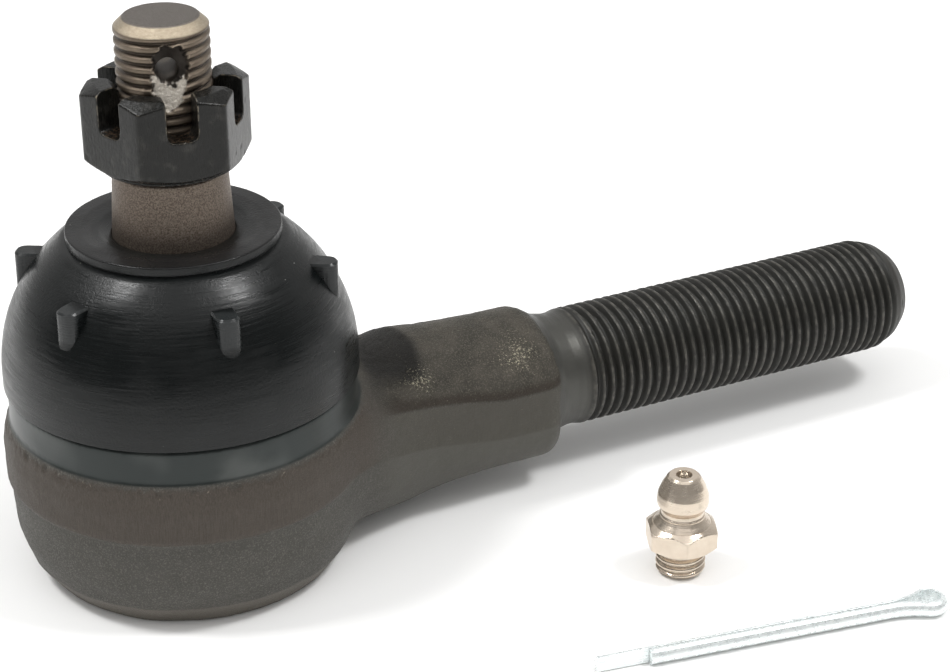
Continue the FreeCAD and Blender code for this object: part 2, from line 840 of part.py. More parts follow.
def build():
    """Makes every sub-part, checks it and writes its STEP file."""
    makers = [
        make_housing, make_cover_plate, make_preload_spring, make_pressure_pad, make_bearing_race,
        make_half_ball, make_ball_stud, make_castle_nut, make_dust_boot, make_boot_ring,
        make_fitting_body, make_check_ball, make_check_spring, make_cotter_pin,
    ]
    parts = [maker() for maker in makers]
    doc.recompute()
    failed = [o.Name + ": " + o.getStatusString() for o in doc.Objects
              if {"Invalid", "Error"} & set(o.State)]
    if failed:
        raise RuntimeError("failed objects: " + ", ".join(failed))
    for part in parts:
        if part.Shape.isNull() or not part.Shape.isValid() or part.Shape.Volume <= 0:
            raise RuntimeError("bad shape: " + part.Label)
    for part in parts:
        part.Shape.exportStep(f"parts/{part.Label}.step")
        box = part.Shape.BoundBox
        print(f"{part.Label}: {part.Shape.Volume:.1f} mm3, {len(part.Shape.Solids)} solid, "
              f"x {box.XMin:.2f}..{box.XMax:.2f} y {box.YMin:.2f}..{box.YMax:.2f} "
              f"z {box.ZMin:.2f}..{box.ZMax:.2f}")


build()
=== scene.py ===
import json
import math

import bpy
import numpy as np
from mathutils import Matrix, Vector, noise


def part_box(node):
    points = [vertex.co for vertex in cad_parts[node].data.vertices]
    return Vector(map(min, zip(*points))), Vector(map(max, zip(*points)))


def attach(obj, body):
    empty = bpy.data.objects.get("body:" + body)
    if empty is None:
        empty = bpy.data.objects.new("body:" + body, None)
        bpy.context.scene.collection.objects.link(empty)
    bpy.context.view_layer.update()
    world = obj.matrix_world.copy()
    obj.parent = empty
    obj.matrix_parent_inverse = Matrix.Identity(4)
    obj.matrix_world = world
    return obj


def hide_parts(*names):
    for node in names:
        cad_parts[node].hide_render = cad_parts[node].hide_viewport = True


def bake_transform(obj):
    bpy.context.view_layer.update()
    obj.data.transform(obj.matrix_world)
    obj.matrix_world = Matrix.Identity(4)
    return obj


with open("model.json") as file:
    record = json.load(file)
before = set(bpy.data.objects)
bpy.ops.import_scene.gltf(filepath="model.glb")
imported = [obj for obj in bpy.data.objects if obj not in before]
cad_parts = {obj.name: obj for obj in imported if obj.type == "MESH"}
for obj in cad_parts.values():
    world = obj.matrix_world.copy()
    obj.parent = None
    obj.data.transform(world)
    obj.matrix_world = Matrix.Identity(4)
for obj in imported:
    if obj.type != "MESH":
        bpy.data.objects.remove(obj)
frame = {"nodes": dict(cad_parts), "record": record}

# Looks of a tie rod end, with its grease fitting and cotter pin. Lengths are millimetres in the
# part's own frame, and meshes are turned into metres when they are made.

MM = 0.001
NUT_AZIMUTH = 22.0         # degrees from +X, as in the CAD model
LUG_AZIMUTH = 27.8
PIN_AZIMUTH = -9.3
FITTING_AZIMUTH = 37.8

# Forging: heights are above the ring it stands on, and distances go from the stud's axis.
FOOT_HEIGHT = 3.0
BAND_BOTTOM = 13.2
BAND_TOP = 20.5
BOSS_BOTTOM = 20.9
BOSS_RADIUS = 21.3
SADDLE_START = 24.0
SADDLE_END = 30.0
FLATS_LEVEL_FROM = 40.0    # nearer to the socket the neck's flats climb to the parting band
THREAD_START = 54.1

scene = bpy.context.scene
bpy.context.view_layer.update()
mounts = {mount["name"]: mount for mount in frame["record"]["mounts"]}


# ---- places that the frame gives ----

def span(node):
    """Lowest and highest corner of a CAD node."""
    low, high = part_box(node)
    return low / MM, high / MM


def mount_place(name):
    return Vector(mounts[name]["pos_m"]) / MM


housing_low, housing_high = span("housing")
stud_low, stud_high = span("ball_stud")
nut_low, nut_high = span("castle_nut")
boot_low, boot_high = span("dust_boot")
fitting_low, fitting_high = span("grease_fitting_body")
fitting_centre = [(low + high) / 2 for low, high in zip(fitting_low[:2], fitting_high[:2])]
pin_low, pin_high = span("cotter_pin")
band_radius = -housing_low.x
shank_height = mount_place("threaded_shank").z
shank_radius = mounts["threaded_shank"]["dims"]["r_mm"]
hole_height = mount_place("cotter_pin_hole").z
hole_radius = mounts["cotter_pin_hole"]["dims"]["r_mm"]
hole_axis = Vector(mounts["cotter_pin_hole"]["axis"])
hole_azimuth = math.atan2(hole_axis.y, hole_axis.x)


# ---- shapes ----

def smoothstep(value):
    value = np.clip(value, 0, 1)
    return value * value * (3 - 2 * value)


def grain(points, per_mm, seed=0.0):
    """Smooth noise from about -1 to 1 at each point, with features of 1/per_mm millimetres."""
    places = (points * per_mm + seed).reshape(-1, 3).tolist()
    values = np.fromiter((noise.noise(place) for place in places), float, len(places))
    return values.reshape(points.shape[:-1])


def polar(radius, height, angle, centre=(0, 0)):
    """Points at a radius, height and angle about an upright axis."""
    x, y = centre
    return np.stack([x + radius * np.cos(angle), y + radius * np.sin(angle), height], -1)


def turned(x, y, z, turn):
    """Points turned by that angle about Z."""
    return np.stack([x * math.cos(turn) - y * math.sin(turn),
                     x * math.sin(turn) + y * math.cos(turn), z], -1)


def rounded(outline, step, closed=False):
    """Fine points along an outline of (x, y, corner radius), with its corners rounded."""
    fine = []
    for number, (x, y, radius) in enumerate(outline):
        corner = Vector((x, y))
        if not closed and number in (0, len(outline) - 1):
            fine.append(corner)
            continue
        back = Vector(outline[number - 1][:2]) - corner
        ahead = Vector(outline[(number + 1) % len(outline)][:2]) - corner
        turn = math.pi - back.angle(ahead)
        cut = min(radius * math.tan(turn / 2), 0.48 * back.length, 0.48 * ahead.length)
        begin, end = corner + back.normalized() * cut, corner + ahead.normalized() * cut
        count = max(2, math.ceil(turn / 0.3))
        for t in np.linspace(0, 1, count + 1):
            fine.append(begin * (1 - t) ** 2 + corner * 2 * t * (1 - t) + end * t ** 2)
    points = []
    for number, start in enumerate(fine):
        if not closed and number == len(fine) - 1:
            points.append(start)
            break
        stop = fine[(number + 1) % len(fine)]
        count = max(1, math.ceil((stop - start).length / step))
        points += [start.lerp(stop, part / count) for part in range(count)]
    return np.array([tuple(point) for point in points])


def grid_faces(rows, columns, closed):
    """Quads of a grid closed round its columns and, if closed is true, over its rows too."""
    row = np.arange(rows if closed else rows - 1)[:, None] * columns
    following = (row + columns) % (rows * columns)
    column = np.arange(columns)[None]
    beside = (column + 1) % columns
    corners = [row + column, row + beside, following + beside, following + column]
    return np.stack(corners, -1).reshape(-1, 4).tolist()


def add_mesh(name, points, faces):
    mesh = bpy.data.meshes.new(name)
    mesh.from_pydata((np.asarray(points) * MM).tolist(), [], faces)
    mesh.shade_smooth()
    piece = bpy.data.objects.new(name, mesh)
    scene.collection.objects.link(piece)
    return piece


def add_grid(name, grid, closed=False):
    """A closed solid from rows of points; open rows are closed by a face at each end."""
    rows, columns = grid.shape[:2]
    faces = grid_faces(rows, columns, closed)
    if not closed:
        faces.append(list(range(columns - 1, -1, -1)))
        faces.append(list(range((rows - 1) * columns, rows * columns)))
    return add_mesh(name, grid.reshape(-1, 3), faces)


def lathe(name, outline, columns, shape=None, closed=False, centre=(0, 0)):
    """Turns (radius, height) points about Z; shape(radius, height, angle) may change the radius."""
    angle = np.linspace(0, math.tau, columns, endpoint=False)[None].repeat(len(outline), 0)
    radius = outline[:, :1].repeat(columns, 1)
    height = outline[:, 1:].repeat(columns, 1)
    if shape:
        radius = shape(radius, height, angle)
    return add_grid(name, polar(radius, height, angle, centre), closed)


def applied(piece):
    """Turns the piece's modifiers into its mesh."""
    graph = bpy.context.evaluated_depsgraph_get()
    piece.data = bpy.data.meshes.new_from_object(piece.evaluated_get(graph))
    piece.modifiers.clear()
    piece.data.shade_smooth()


def combined(piece, others, operation):
    """Adds other solids to the piece or cuts them from it, and removes them."""
    for other in others:
        boolean = piece.modifiers.new(operation, "BOOLEAN")
        boolean.operation = operation
        boolean.object = other
        boolean.solver = "EXACT"
    applied(piece)
    for other in others:
        bpy.data.objects.remove(other)


def joined(pieces):
    """Puts separate closed solids in the first one's mesh."""
    with bpy.context.temp_override(active_object=pieces[0], selected_editable_objects=pieces):
        bpy.ops.object.join()
    return pieces[0]


def fused(piece, voxel, rounds):
    """One closed skin over overlapping solids, from voxels of that size, then evened out."""
    remesh = piece.modifiers.new("Fuse", "REMESH")
    remesh.mode = "VOXEL"
    remesh.voxel_size = voxel * MM
    ease = piece.modifiers.new("Ease", "SMOOTH")
    ease.factor = 0.5
    ease.iterations = rounds
    applied(piece)


def of_vertices(piece, what):
    flat = np.zeros(len(piece.data.vertices) * 3, np.float32)
    piece.data.vertices.foreach_get(what, flat)
    return flat.reshape(-1, 3).astype(float)


def points_of(piece):
    return of_vertices(piece, "co") / MM


def normals_of(piece):
    return of_vertices(piece, "normal")


def set_points(piece, points):
    piece.data.vertices.foreach_set("co", (points * MM).astype(np.float32).ravel())
    piece.data.update()


def neighbour_mean(piece, values):
    """The mean of each point's neighbours, for values of one row per point."""
    edges = np.zeros(len(piece.data.edges) * 2, np.int32)
    piece.data.edges.foreach_get("vertices", edges)
    a, b = edges.reshape(-1, 2).T
    count = len(values)
    near = np.maximum(np.bincount(a, minlength=count) + np.bincount(b, minlength=count), 1)
    total = [np.bincount(a, column[b], count) + np.bincount(b, column[a], count)
             for column in values.T]
    return np.stack(total, -1) / near[:, None]


def relaxed(piece, weight, rounds):
    """Evens out the surface where weight, from 0 to 1 at each point, lets it move."""
    points = points_of(piece)
    for _ in range(rounds):
        points += (neighbour_mean(piece, points) - points) * weight[:, None]
    set_points(piece, points)


def displaced(piece, offset):
    """Moves each point along its normal by offset, in millimetres."""
    set_points(piece, points_of(piece) + normals_of(piece) * offset[:, None])


def store(piece, name, values):
    """Keeps one number per point in the mesh, for its material."""
    attribute = piece.data.attributes.new(name, "FLOAT", "POINT")
    attribute.data.foreach_set("value", values.astype(np.float32))


def mark_ridges(piece, spacing):
    """Stores how sharply each point stands out, from 0.5 when flat, for its material."""
    points = points_of(piece)
    bulge = ((points - neighbour_mean(piece, points)) * normals_of(piece)).sum(1) / spacing
    bulge = neighbour_mean(piece, bulge[:, None])
    store(piece, "ridge", np.clip(0.5 + bulge.ravel() * 2, 0, 1))


def thread_groove(turns, width):
    """Depth of a thread from 0 at its crest to 1 at its root; width is the groove's share."""
    from_root = np.abs(turns - np.floor(turns) - 0.5) * 2
    return smoothstep(1 - from_root / width)


def hexagon_radius(across, angle, azimuth):
    """Distance to a hexagon's side in each direction, with slightly rounded corners."""
    total = 0
    for side in range(6):
        facing = np.cos(angle - math.radians(azimuth + 60 * side))
        total = total + np.clip(facing, 0, 1) ** 48
    return across / 2 / total ** (1 / 48)


# ---- materials ----

class Finish:
    """A material under construction; its coordinates are the part's own in millimetres."""

    def __init__(self, name, colour, roughness, metallic=0.0, rest=False, **sockets):
        self.material = bpy.data.materials.new(name)
        self.material.use_nodes = True
        self.tree = self.material.node_tree
        self.shader = self.tree.nodes["Principled BSDF"]
        self.material.diffuse_color = (*colour, 1)
        sockets.update(Base_Color=(*colour, 1), Roughness=roughness, Metallic=metallic)
        for socket, value in sockets.items():
            self.set(socket.replace("_", " "), value)
        if rest:
            source = self.add("ShaderNodeAttribute", attribute_name="rest").outputs["Vector"]
        else:
            source = self.add("ShaderNodeTexCoord").outputs["Object"]
        scale = self.fed(self.add("ShaderNodeVectorMath", operation="SCALE"), Scale=1 / MM)
        self.feed(scale.inputs[0], source)
        self.place = scale.outputs[0]
        parts = self.fed(self.add("ShaderNodeSeparateXYZ"), Vector=self.place)
        self.x, self.y, self.z = parts.outputs

    def add(self, kind, **settings):
        node = self.tree.nodes.new(kind)
        for key, value in settings.items():
            setattr(node, key, value)
        return node

    def feed(self, socket, value):
        if isinstance(value, bpy.types.NodeSocket):
            self.tree.links.new(value, socket)
        else:
            socket.default_value = value

    def fed(self, node, **inputs):
        for name, value in inputs.items():
            self.feed(node.inputs[name], value)
        return node

    def set(self, name, value):
        self.feed(self.shader.inputs[name], value)

    def math(self, operation, *values):
        node = self.add("ShaderNodeMath", operation=operation)
        for socket, value in zip(node.inputs, values):
            self.feed(socket, value)
        return node.outputs[0]

    def product(self, first, *others):
        for other in others:
            first = self.math("MULTIPLY", first, other)
        return first

    def distance(self, a, b):
        squares = self.math("ADD", self.math("POWER", a, 2.0), self.math("POWER", b, 2.0))
        return self.math("SQRT", squares)

    def noise(self, per_mm, stretch=(1, 1, 1), detail=3.0, roughness=0.55, shift=0.0):
        mapping = self.fed(self.add("ShaderNodeMapping"), Location=(shift, shift, shift),
                           Scale=[per_mm * part for part in stretch], Vector=self.place)
        texture = self.fed(self.add("ShaderNodeTexNoise"), Scale=1.0, Detail=detail,
                           Roughness=roughness, Vector=mapping.outputs[0])
        return texture.outputs["Fac"]

    def specks(self, per_mm, size):
        """Small scattered dots: 1 at the middle of a few random cells, else 0."""
        texture = self.fed(self.add("ShaderNodeTexVoronoi"), Scale=per_mm, Vector=self.place)
        return self.ramp(texture.outputs["Distance"], size, size * 0.4)

    def near(self, centre, reach, soft):
        """1 near a point and 0 beyond reach, with an edge that wanders."""
        node = self.add("ShaderNodeVectorMath", operation="DISTANCE")
        node.inputs[1].default_value = centre
        self.feed(node.inputs[0], self.place)
        distance = self.math("MULTIPLY_ADD", self.noise(0.5, detail=3), reach, node.outputs["Value"])
        return self.ramp(distance, reach * 1.25 + soft, reach * 0.85 - soft)

    def stored(self, name):
        """A number that the mesh stores at each point."""
        return self.add("ShaderNodeAttribute", attribute_name=name).outputs["Fac"]

    def ramp(self, value, low, high, start=0.0, end=1.0):
        """Eases from start to end as value goes from low to high."""
        if low > high:
            low, high, start, end = high, low, end, start
        node = self.add("ShaderNodeMapRange", interpolation_type="SMOOTHSTEP")
        for socket, number in zip(node.inputs[1:5], (low, high, start, end)):
            socket.default_value = number
        self.feed(node.inputs["Value"], value)
        return node.outputs[0]

    def mix(self, factor, first, second):
        """Blends two colours, or two numbers if neither is a colour."""
        colours = [not isinstance(v, (int, float)) and not self.is_number(v) for v in (first, second)]
        kind = "RGBA" if any(colours) else "FLOAT"
        node = self.add("ShaderNodeMix", data_type=kind)
        place = {"FLOAT": (0, 2, 3), "RGBA": (0, 6, 7)}[kind]
        for index, value in zip(place, (factor, first, second)):
            if kind == "RGBA" and index > 0 and isinstance(value, tuple):
                value = (*value, 1)
            self.feed(node.inputs[index], value)
        return node.outputs[0 if kind == "FLOAT" else 2]

    @staticmethod
    def is_number(value):
        return isinstance(value, bpy.types.NodeSocket) and value.type == "VALUE"

    def layers(self, base, *coats):
        """Lays each coat, a mask and its colour, over the ones before it."""
        for mask, colour in coats:
            base = self.mix(mask, base, colour)
        return base

    def bump(self, height, depth, under=None):
        """Relief of that many millimetres where height goes from 0 to 1."""
        node = self.fed(self.add("ShaderNodeBump"), Strength=1.0, Distance=depth * MM, Height=height)
        if under is not None:
            self.feed(node.inputs["Normal"], under)
        self.feed(self.shader.inputs["Normal"], node.outputs[0])
        return node.outputs[0]


def forged_steel():
    """Scaled forging: turned boss, sheared parting band, shot-blasted body and pitted neck, with
    painted shade in the hollow beside the boss, a painted highlight on the boss and painted glints on
    the neck.
    """
    finish = Finish("forged_steel", (0.055, 0.05, 0.042), 0.6, Specular_IOR_Level=0.45)
    x, z = finish.x, finish.z
    radius = finish.distance(x, finish.y)
    fine = finish.noise(5.0, detail=4, roughness=0.7)
    patches = finish.noise(0.35, detail=4)
    cloud = finish.noise(0.085, detail=2)
    shear = finish.noise(11.0, stretch=(1, 1, 0.05), detail=4, roughness=0.65)
    turning = finish.noise(5.0, stretch=(0.03, 0.03, 1), detail=3)
    wander = finish.math("MULTIPLY_ADD", finish.noise(1.4, detail=4), 1.6, -0.8)

    boss = finish.product(finish.ramp(z, BAND_TOP, BOSS_BOTTOM), finish.ramp(x, 22.5, 20.0))
    band = finish.product(
        finish.ramp(z, BAND_BOTTOM - 0.3, BAND_BOTTOM),
        finish.ramp(finish.math("ADD", z, wander), BAND_TOP + 0.1, BAND_TOP - 0.4),
        finish.ramp(radius, BOSS_RADIUS, BOSS_RADIUS + 0.5), finish.ramp(x, 24.0, 17.0))
    neck = finish.ramp(x, 19.0, 25.0)
    climb = finish.math("MAXIMUM", finish.math("SUBTRACT", FLATS_LEVEL_FROM, x), 0.0)
    above = finish.math("SUBTRACT", z, shank_height)
    over_flat = finish.math("SUBTRACT", above, finish.math("MULTIPLY_ADD", climb, 0.175, 2.7))
    under_flat = finish.math("SUBTRACT", finish.math("MULTIPLY_ADD", climb, 0.16, -2.75), above)
    trimmed = finish.product(neck, finish.ramp(over_flat, 0.2, -0.2))
    neck_top = finish.product(neck, finish.ramp(over_flat, 0.0, 1.0))
    underside = finish.product(neck, finish.ramp(under_flat, -0.1, 0.3))
    seam = finish.product(
        finish.ramp(over_flat, -0.1, 0.4), finish.ramp(over_flat, 1.8, 0.7), neck, 0.85)
    # Painted shade: the hollow between the boss and the neck's crest is painted near black, for the
    # shade of the boot over it.
    saddle_shade = finish.product(
        finish.ramp(radius, SADDLE_START - 1.4, SADDLE_START + 0.5),
        finish.ramp(radius, SADDLE_END + 1.2, SADDLE_END - 0.4),
        finish.ramp(z, BAND_TOP - 1.1, BAND_TOP - 0.1), finish.ramp(x, 19.0, 23.0), 0.9)
    edge = finish.product(
        finish.ramp(finish.stored("ridge"), 0.56, 0.8), finish.ramp(radius, 21.5, 21.6),
        finish.ramp(x, 24.0, 20.0), finish.ramp(finish.noise(2.2, detail=5), 0.48, 0.66))

    pitted = finish.layers(
        finish.mix(finish.ramp(patches, 0.3, 0.7), (0.028, 0.025, 0.018), (0.055, 0.048, 0.037)),
        (finish.ramp(fine, 0.5, 0.66), (0.1, 0.089, 0.069)))
    body = finish.layers(
        finish.mix(patches, (0.047, 0.045, 0.038), (0.066, 0.062, 0.054)),
        (finish.ramp(fine, 0.5, 0.64), (0.11, 0.103, 0.089)),
        (finish.ramp(z, FOOT_HEIGHT + 0.2, FOOT_HEIGHT - 0.1), (0.105, 0.094, 0.078)),
        (neck_top, pitted),
        (trimmed, finish.mix(shear, (0.045, 0.041, 0.032), (0.085, 0.079, 0.066))),
        (underside, (0.082, 0.079, 0.068)),
        (seam, (0.026, 0.018, 0.011)),
        (saddle_shade, (0.008, 0.007, 0.0055)))
    brown = finish.mix(finish.ramp(shear, 0.3, 0.7), (0.044, 0.035, 0.027), (0.074, 0.061, 0.049))
    # Painted highlight: a pale patch on the front of the turned boss stands in for the reflection of
    # the lights.
    shine = finish.product(finish.near((-0.9, -21.3, 22.6), 4.5, 1.5), finish.ramp(cloud, 0.35, 0.6))
    boss_colour = finish.layers(
        finish.mix(finish.ramp(cloud, 0.45, 0.66), (0.022, 0.027, 0.026), (0.05, 0.055, 0.053)),
        (shine, (0.06, 0.065, 0.062)))
    # Painted glints: bright specks over the neck, thickest round three spots, stand in for the sparkle
    # of light on the forged skin; the grit noise only scatters them.
    glint_spots = finish.near((28.6, -7.6, 19.8), 3.4, 1.2)
    for centre, reach, soft in (((43.5, -6.6, 20.0), 5.0, 2.5), ((21.5, -15.5, 19.0), 3.4, 1.2)):
        glint_spots = finish.math("MAXIMUM", glint_spots, finish.near(centre, reach, soft))
    grit = finish.math("MULTIPLY_ADD", glint_spots, 0.15, finish.noise(3.8, detail=4, roughness=0.75))
    painted_glints = finish.product(finish.ramp(grit, 0.67, 0.74), neck)
    finish.set("Base Color", finish.layers(
        body, (band, brown), (boss, boss_colour), (edge, (0.24, 0.21, 0.165)),
        (painted_glints, (0.36, 0.33, 0.24))))
    rough = finish.mix(boss, finish.ramp(fine, 0.3, 0.8, 0.64, 0.42), 0.34)
    finish.set("Roughness", finish.mix(painted_glints, rough, 0.3))
    finish.set("Metallic", finish.mix(boss, 0.2, 0.45))

    relief = finish.bump(finish.mix(boss, fine, 0.5), 0.13)
    relief = finish.bump(finish.mix(band, 0.5, shear), 0.035, relief)
    relief = finish.bump(finish.mix(boss, 0.5, turning), 0.012, relief)
    finish.bump(finish.mix(neck_top, 0.5, finish.noise(1.6, detail=5, roughness=0.65)), 0.22, relief)
    return finish.material


def threaded_steel():
    """Oiled black threads with painted highlights on their crests, and a satin plain part."""
    finish = Finish("threaded_steel", (0.04, 0.038, 0.033), 0.4)
    radius = finish.distance(finish.y, finish.math("SUBTRACT", finish.z, shank_height))
    threads = finish.ramp(finish.x, THREAD_START - 0.7, THREAD_START + 0.1)
    tip = finish.ramp(finish.x, housing_high.x - 3.6, housing_high.x - 2.6)
    crest = finish.ramp(radius, shank_radius - 0.14, shank_radius - 0.02)
    # Painted highlight: the crests are painted paler in patches, for the light they catch.
    uneven = finish.product(crest, finish.ramp(finish.noise(0.9, detail=4), 0.3, 0.75))
    patches = finish.noise(0.3, stretch=(0.5, 1, 1), detail=4)
    oiled = finish.mix(patches, (0.012, 0.012, 0.0105), (0.026, 0.025, 0.021))
    thread_colour = finish.mix(uneven, oiled, (0.085, 0.08, 0.068))
    plain = finish.mix(patches, (0.05, 0.05, 0.046), (0.085, 0.083, 0.074))
    finish.set("Base Color", finish.layers(
        plain, (tip, (0.03, 0.028, 0.024)), (finish.math("SUBTRACT", threads, tip), thread_colour)))
    turning = finish.noise(7.0, stretch=(1, 0.05, 0.05), detail=3)
    finish.set("Roughness", finish.mix(threads, finish.ramp(turning, 0.3, 0.7, 0.36, 0.5),
                                       finish.mix(uneven, 0.5, 0.36)))
    finish.set("Metallic", finish.mix(threads, 0.55, 0.3))
    relief = finish.bump(turning, 0.012)
    finish.bump(finish.noise(4.0, detail=4), 0.03, relief)
    return finish.material


def stud_steel():
    """Bronze-grey steel: rolled thread with painted shade in its roots, blasted taper and a torn pin
    hole, with painted light on the chamfer and ridges and painted shade in the countersink.
    """
    finish = Finish("stud_steel", (0.2, 0.17, 0.14), 0.42, metallic=0.85)
    top_height = stud_high.z
    stipple = finish.noise(5.5, detail=4, roughness=0.75)
    patches = finish.noise(0.5, detail=3)
    threads = finish.ramp(finish.z, 52.6, 53.4)
    # Painted shade: the thread roots are painted darker, for the shade in the grooves.
    root = finish.ramp(finish.distance(finish.x, finish.y), 5.45, 5.15)
    blasted = finish.mix(
        finish.ramp(stipple, 0.32, 0.7), (0.085, 0.066, 0.052), (0.26, 0.215, 0.178))
    rolled = finish.mix(patches, (0.085, 0.066, 0.05), (0.23, 0.185, 0.14))
    rolled = finish.mix(finish.product(root, 0.8), rolled, (0.045, 0.036, 0.029))
    # Painted reflection: the top chamfer is painted paler, with brighter streaks, for the light it
    # reflects.
    chamfer = finish.ramp(finish.z, top_height - 1.2, top_height - 0.95)
    chamfer_glints = finish.noise(1.4, stretch=(1, 1, 2.5), detail=5, roughness=0.65)
    chamfer_colour = finish.mix(chamfer_glints, (0.26, 0.21, 0.15), (0.58, 0.5, 0.38))
    top = finish.ramp(finish.z, top_height - 0.2, top_height - 0.08)
    top_colour = finish.mix(
        finish.noise(6.0, stretch=(1, 0.3, 1), detail=4), (0.12, 0.105, 0.09), (0.22, 0.195, 0.175))
    # Painted highlight: the ridges are painted paler, for the light along the edges.
    edge = finish.product(finish.ramp(finish.stored("ridge"), 0.62, 0.9), 0.3)
    # Painted shade: the countersink round the pin hole is painted near black, for the shade in the
    # recess.
    sunk, torn = finish.stored("sunk"), finish.stored("torn")
    bright = finish.mix(finish.noise(6.0, detail=4, shift=7.0), (0.55, 0.48, 0.4), (0.98, 0.93, 0.84))
    finish.set("Base Color", finish.layers(
        blasted, (threads, rolled), (chamfer, chamfer_colour), (top, top_colour),
        (edge, (0.45, 0.38, 0.3)), (finish.product(sunk, 0.9), (0.028, 0.024, 0.021)),
        (torn, bright)))
    finish.set("Metallic", finish.mix(torn, 0.85, 0.3))
    finish.set("Roughness", finish.mix(threads, 0.5, finish.ramp(stipple, 0.3, 0.7, 0.28, 0.46)))
    relief = finish.bump(stipple, 0.055)
    rough = finish.math("MAXIMUM", torn, finish.product(chamfer, 0.2))
    finish.bump(finish.mix(rough, 0.5, finish.noise(4.0, detail=4, roughness=0.8)), 0.3, relief)
    return finish.material


def black_oxide():
    """Blackened nut: upright machining marks, paler edges from wear and a painted highlight, and grit
    on the slot floors.
    """
    finish = Finish("black_oxide", (0.024, 0.024, 0.023), 0.36, metallic=0.3,
                    Specular_IOR_Level=0.38)
    brushed = finish.noise(6.0, stretch=(1, 1, 0.05), detail=4, roughness=0.65)
    patches = finish.noise(0.6, detail=4)
    # Paler edges: partly wear and partly a painted highlight along the ridges.
    uneven = finish.product(finish.ramp(finish.stored("ridge"), 0.6, 0.76),
                          finish.ramp(finish.noise(1.5, detail=5), 0.38, 0.62), 0.75)
    slot_floor = nut_high.z - 5.0
    grit = finish.product(
        finish.ramp(finish.z, slot_floor + 0.4, slot_floor + 0.1),
        finish.ramp(finish.distance(finish.x, finish.y), 8.8, 8.6),
        finish.ramp(finish.z, slot_floor - 0.6, slot_floor - 0.3),
        finish.ramp(finish.noise(3.0, detail=5), 0.48, 0.62), 0.5)
    finish.set("Base Color", finish.layers(
        finish.mix(brushed, (0.004, 0.0042, 0.0038), (0.012, 0.0118, 0.0105)),
        (finish.ramp(patches, 0.5, 0.75), (0.026, 0.025, 0.022)),
        (uneven, (0.26, 0.225, 0.17)), (grit, (0.17, 0.11, 0.07))))
    finish.set("Roughness", finish.ramp(brushed, 0.3, 0.7, 0.24, 0.36))
    relief = finish.bump(brushed, 0.02)
    finish.bump(finish.noise(2.5, detail=4), 0.03, relief)
    return finish.material


def boot_rubber():
    """Moulded black rubber with faint streaks round it, stippled shine and a little lint, with painted
    highlights on its edges and painted light on the disc's top.
    """
    finish = Finish("boot_rubber", (0.012, 0.0135, 0.014), 0.4, rest=True, Specular_IOR_Level=0.32)
    streaks = finish.noise(5.0, stretch=(0.04, 0.04, 1), detail=4, roughness=0.6)
    stipple = finish.noise(3.2, detail=3, roughness=0.6)
    patches = finish.noise(0.13, detail=3)
    # Painted light: the disc's upward face is painted a little paler than the dome, for the light that
    # falls on it.
    on_disc = finish.ramp(finish.z, boot_high.z - 0.25, boot_high.z - 0.1)
    # Painted highlight: the rim, disc and lug edges are painted paler, for the light along them.
    edge = finish.product(finish.ramp(finish.stored("ridge"), 0.6, 0.85), 0.5)
    lint = finish.product(finish.specks(0.4, 0.035), finish.ramp(patches, 0.5, 0.6))
    finish.set("Base Color", finish.layers(
        finish.mix(streaks, (0.0025, 0.0031, 0.0032), (0.0055, 0.0068, 0.0068)),
        (on_disc, (0.008, 0.008, 0.0082)), (edge, (0.03, 0.033, 0.034)), (lint, (0.4, 0.4, 0.38))))
    shine = finish.math("ADD", streaks, patches)
    finish.set("Roughness", finish.ramp(shine, 0.75, 1.25, 0.23, 0.4))
    relief = finish.bump(streaks, 0.02)
    finish.bump(finish.mix(finish.ramp(patches, 0.42, 0.6), 0.5, stipple), 0.05, relief)
    return finish.material


def nickel_plate():
    """Bright warm nickel with turning marks; the hexagon is duller."""
    finish = Finish("nickel_plate", (0.74, 0.68, 0.6), 0.16, metallic=0.8)
    turning = finish.noise(6.0, stretch=(0.02, 0.02, 1), detail=3)
    cloud = finish.noise(0.8, detail=4)
    hexagon = finish.product(finish.ramp(finish.z, 3.7, 3.9), finish.ramp(finish.z, 6.5, 6.3))
    finish.set("Base Color", finish.mix(cloud, (0.6, 0.5, 0.4), (0.78, 0.69, 0.58)))
    shine = finish.ramp(finish.math("ADD", cloud, turning), 0.7, 1.3, 0.18, 0.28)
    finish.set("Roughness", finish.mix(hexagon, shine, 0.34))
    relief = finish.bump(turning, 0.012)
    finish.bump(finish.mix(hexagon, 0.5, finish.noise(5.0, detail=3)), 0.02, relief)
    return finish.material


def zinc_plate():
    """Clear blue-white zinc on drawn wire, whose marks run along the pin."""
    finish = Finish("zinc_plate", (0.76, 0.81, 0.82), 0.2, metallic=0.55)
    turn = math.radians(PIN_AZIMUTH)
    cloud = finish.noise(1.2, detail=4)
    across = finish.math("MULTIPLY_ADD", finish.x, -math.sin(turn),
                         finish.math("MULTIPLY", finish.y, math.cos(turn)))
    line = finish.fed(finish.add("ShaderNodeCombineXYZ"), X=across, Y=finish.z)
    texture = finish.fed(finish.add("ShaderNodeTexNoise"), Scale=5.0, Vector=line.outputs[0])
    drawn = texture.outputs["Fac"]
    finish.set("Base Color", finish.mix(cloud, (0.74, 0.81, 0.82), (0.92, 0.94, 0.93)))
    finish.set("Roughness", finish.ramp(finish.math("ADD", cloud, drawn), 0.75, 1.3, 0.22, 0.38))
    relief = finish.bump(drawn, 0.02)
    finish.bump(finish.noise(3.0, detail=4), 0.02, relief)
    return finish.material


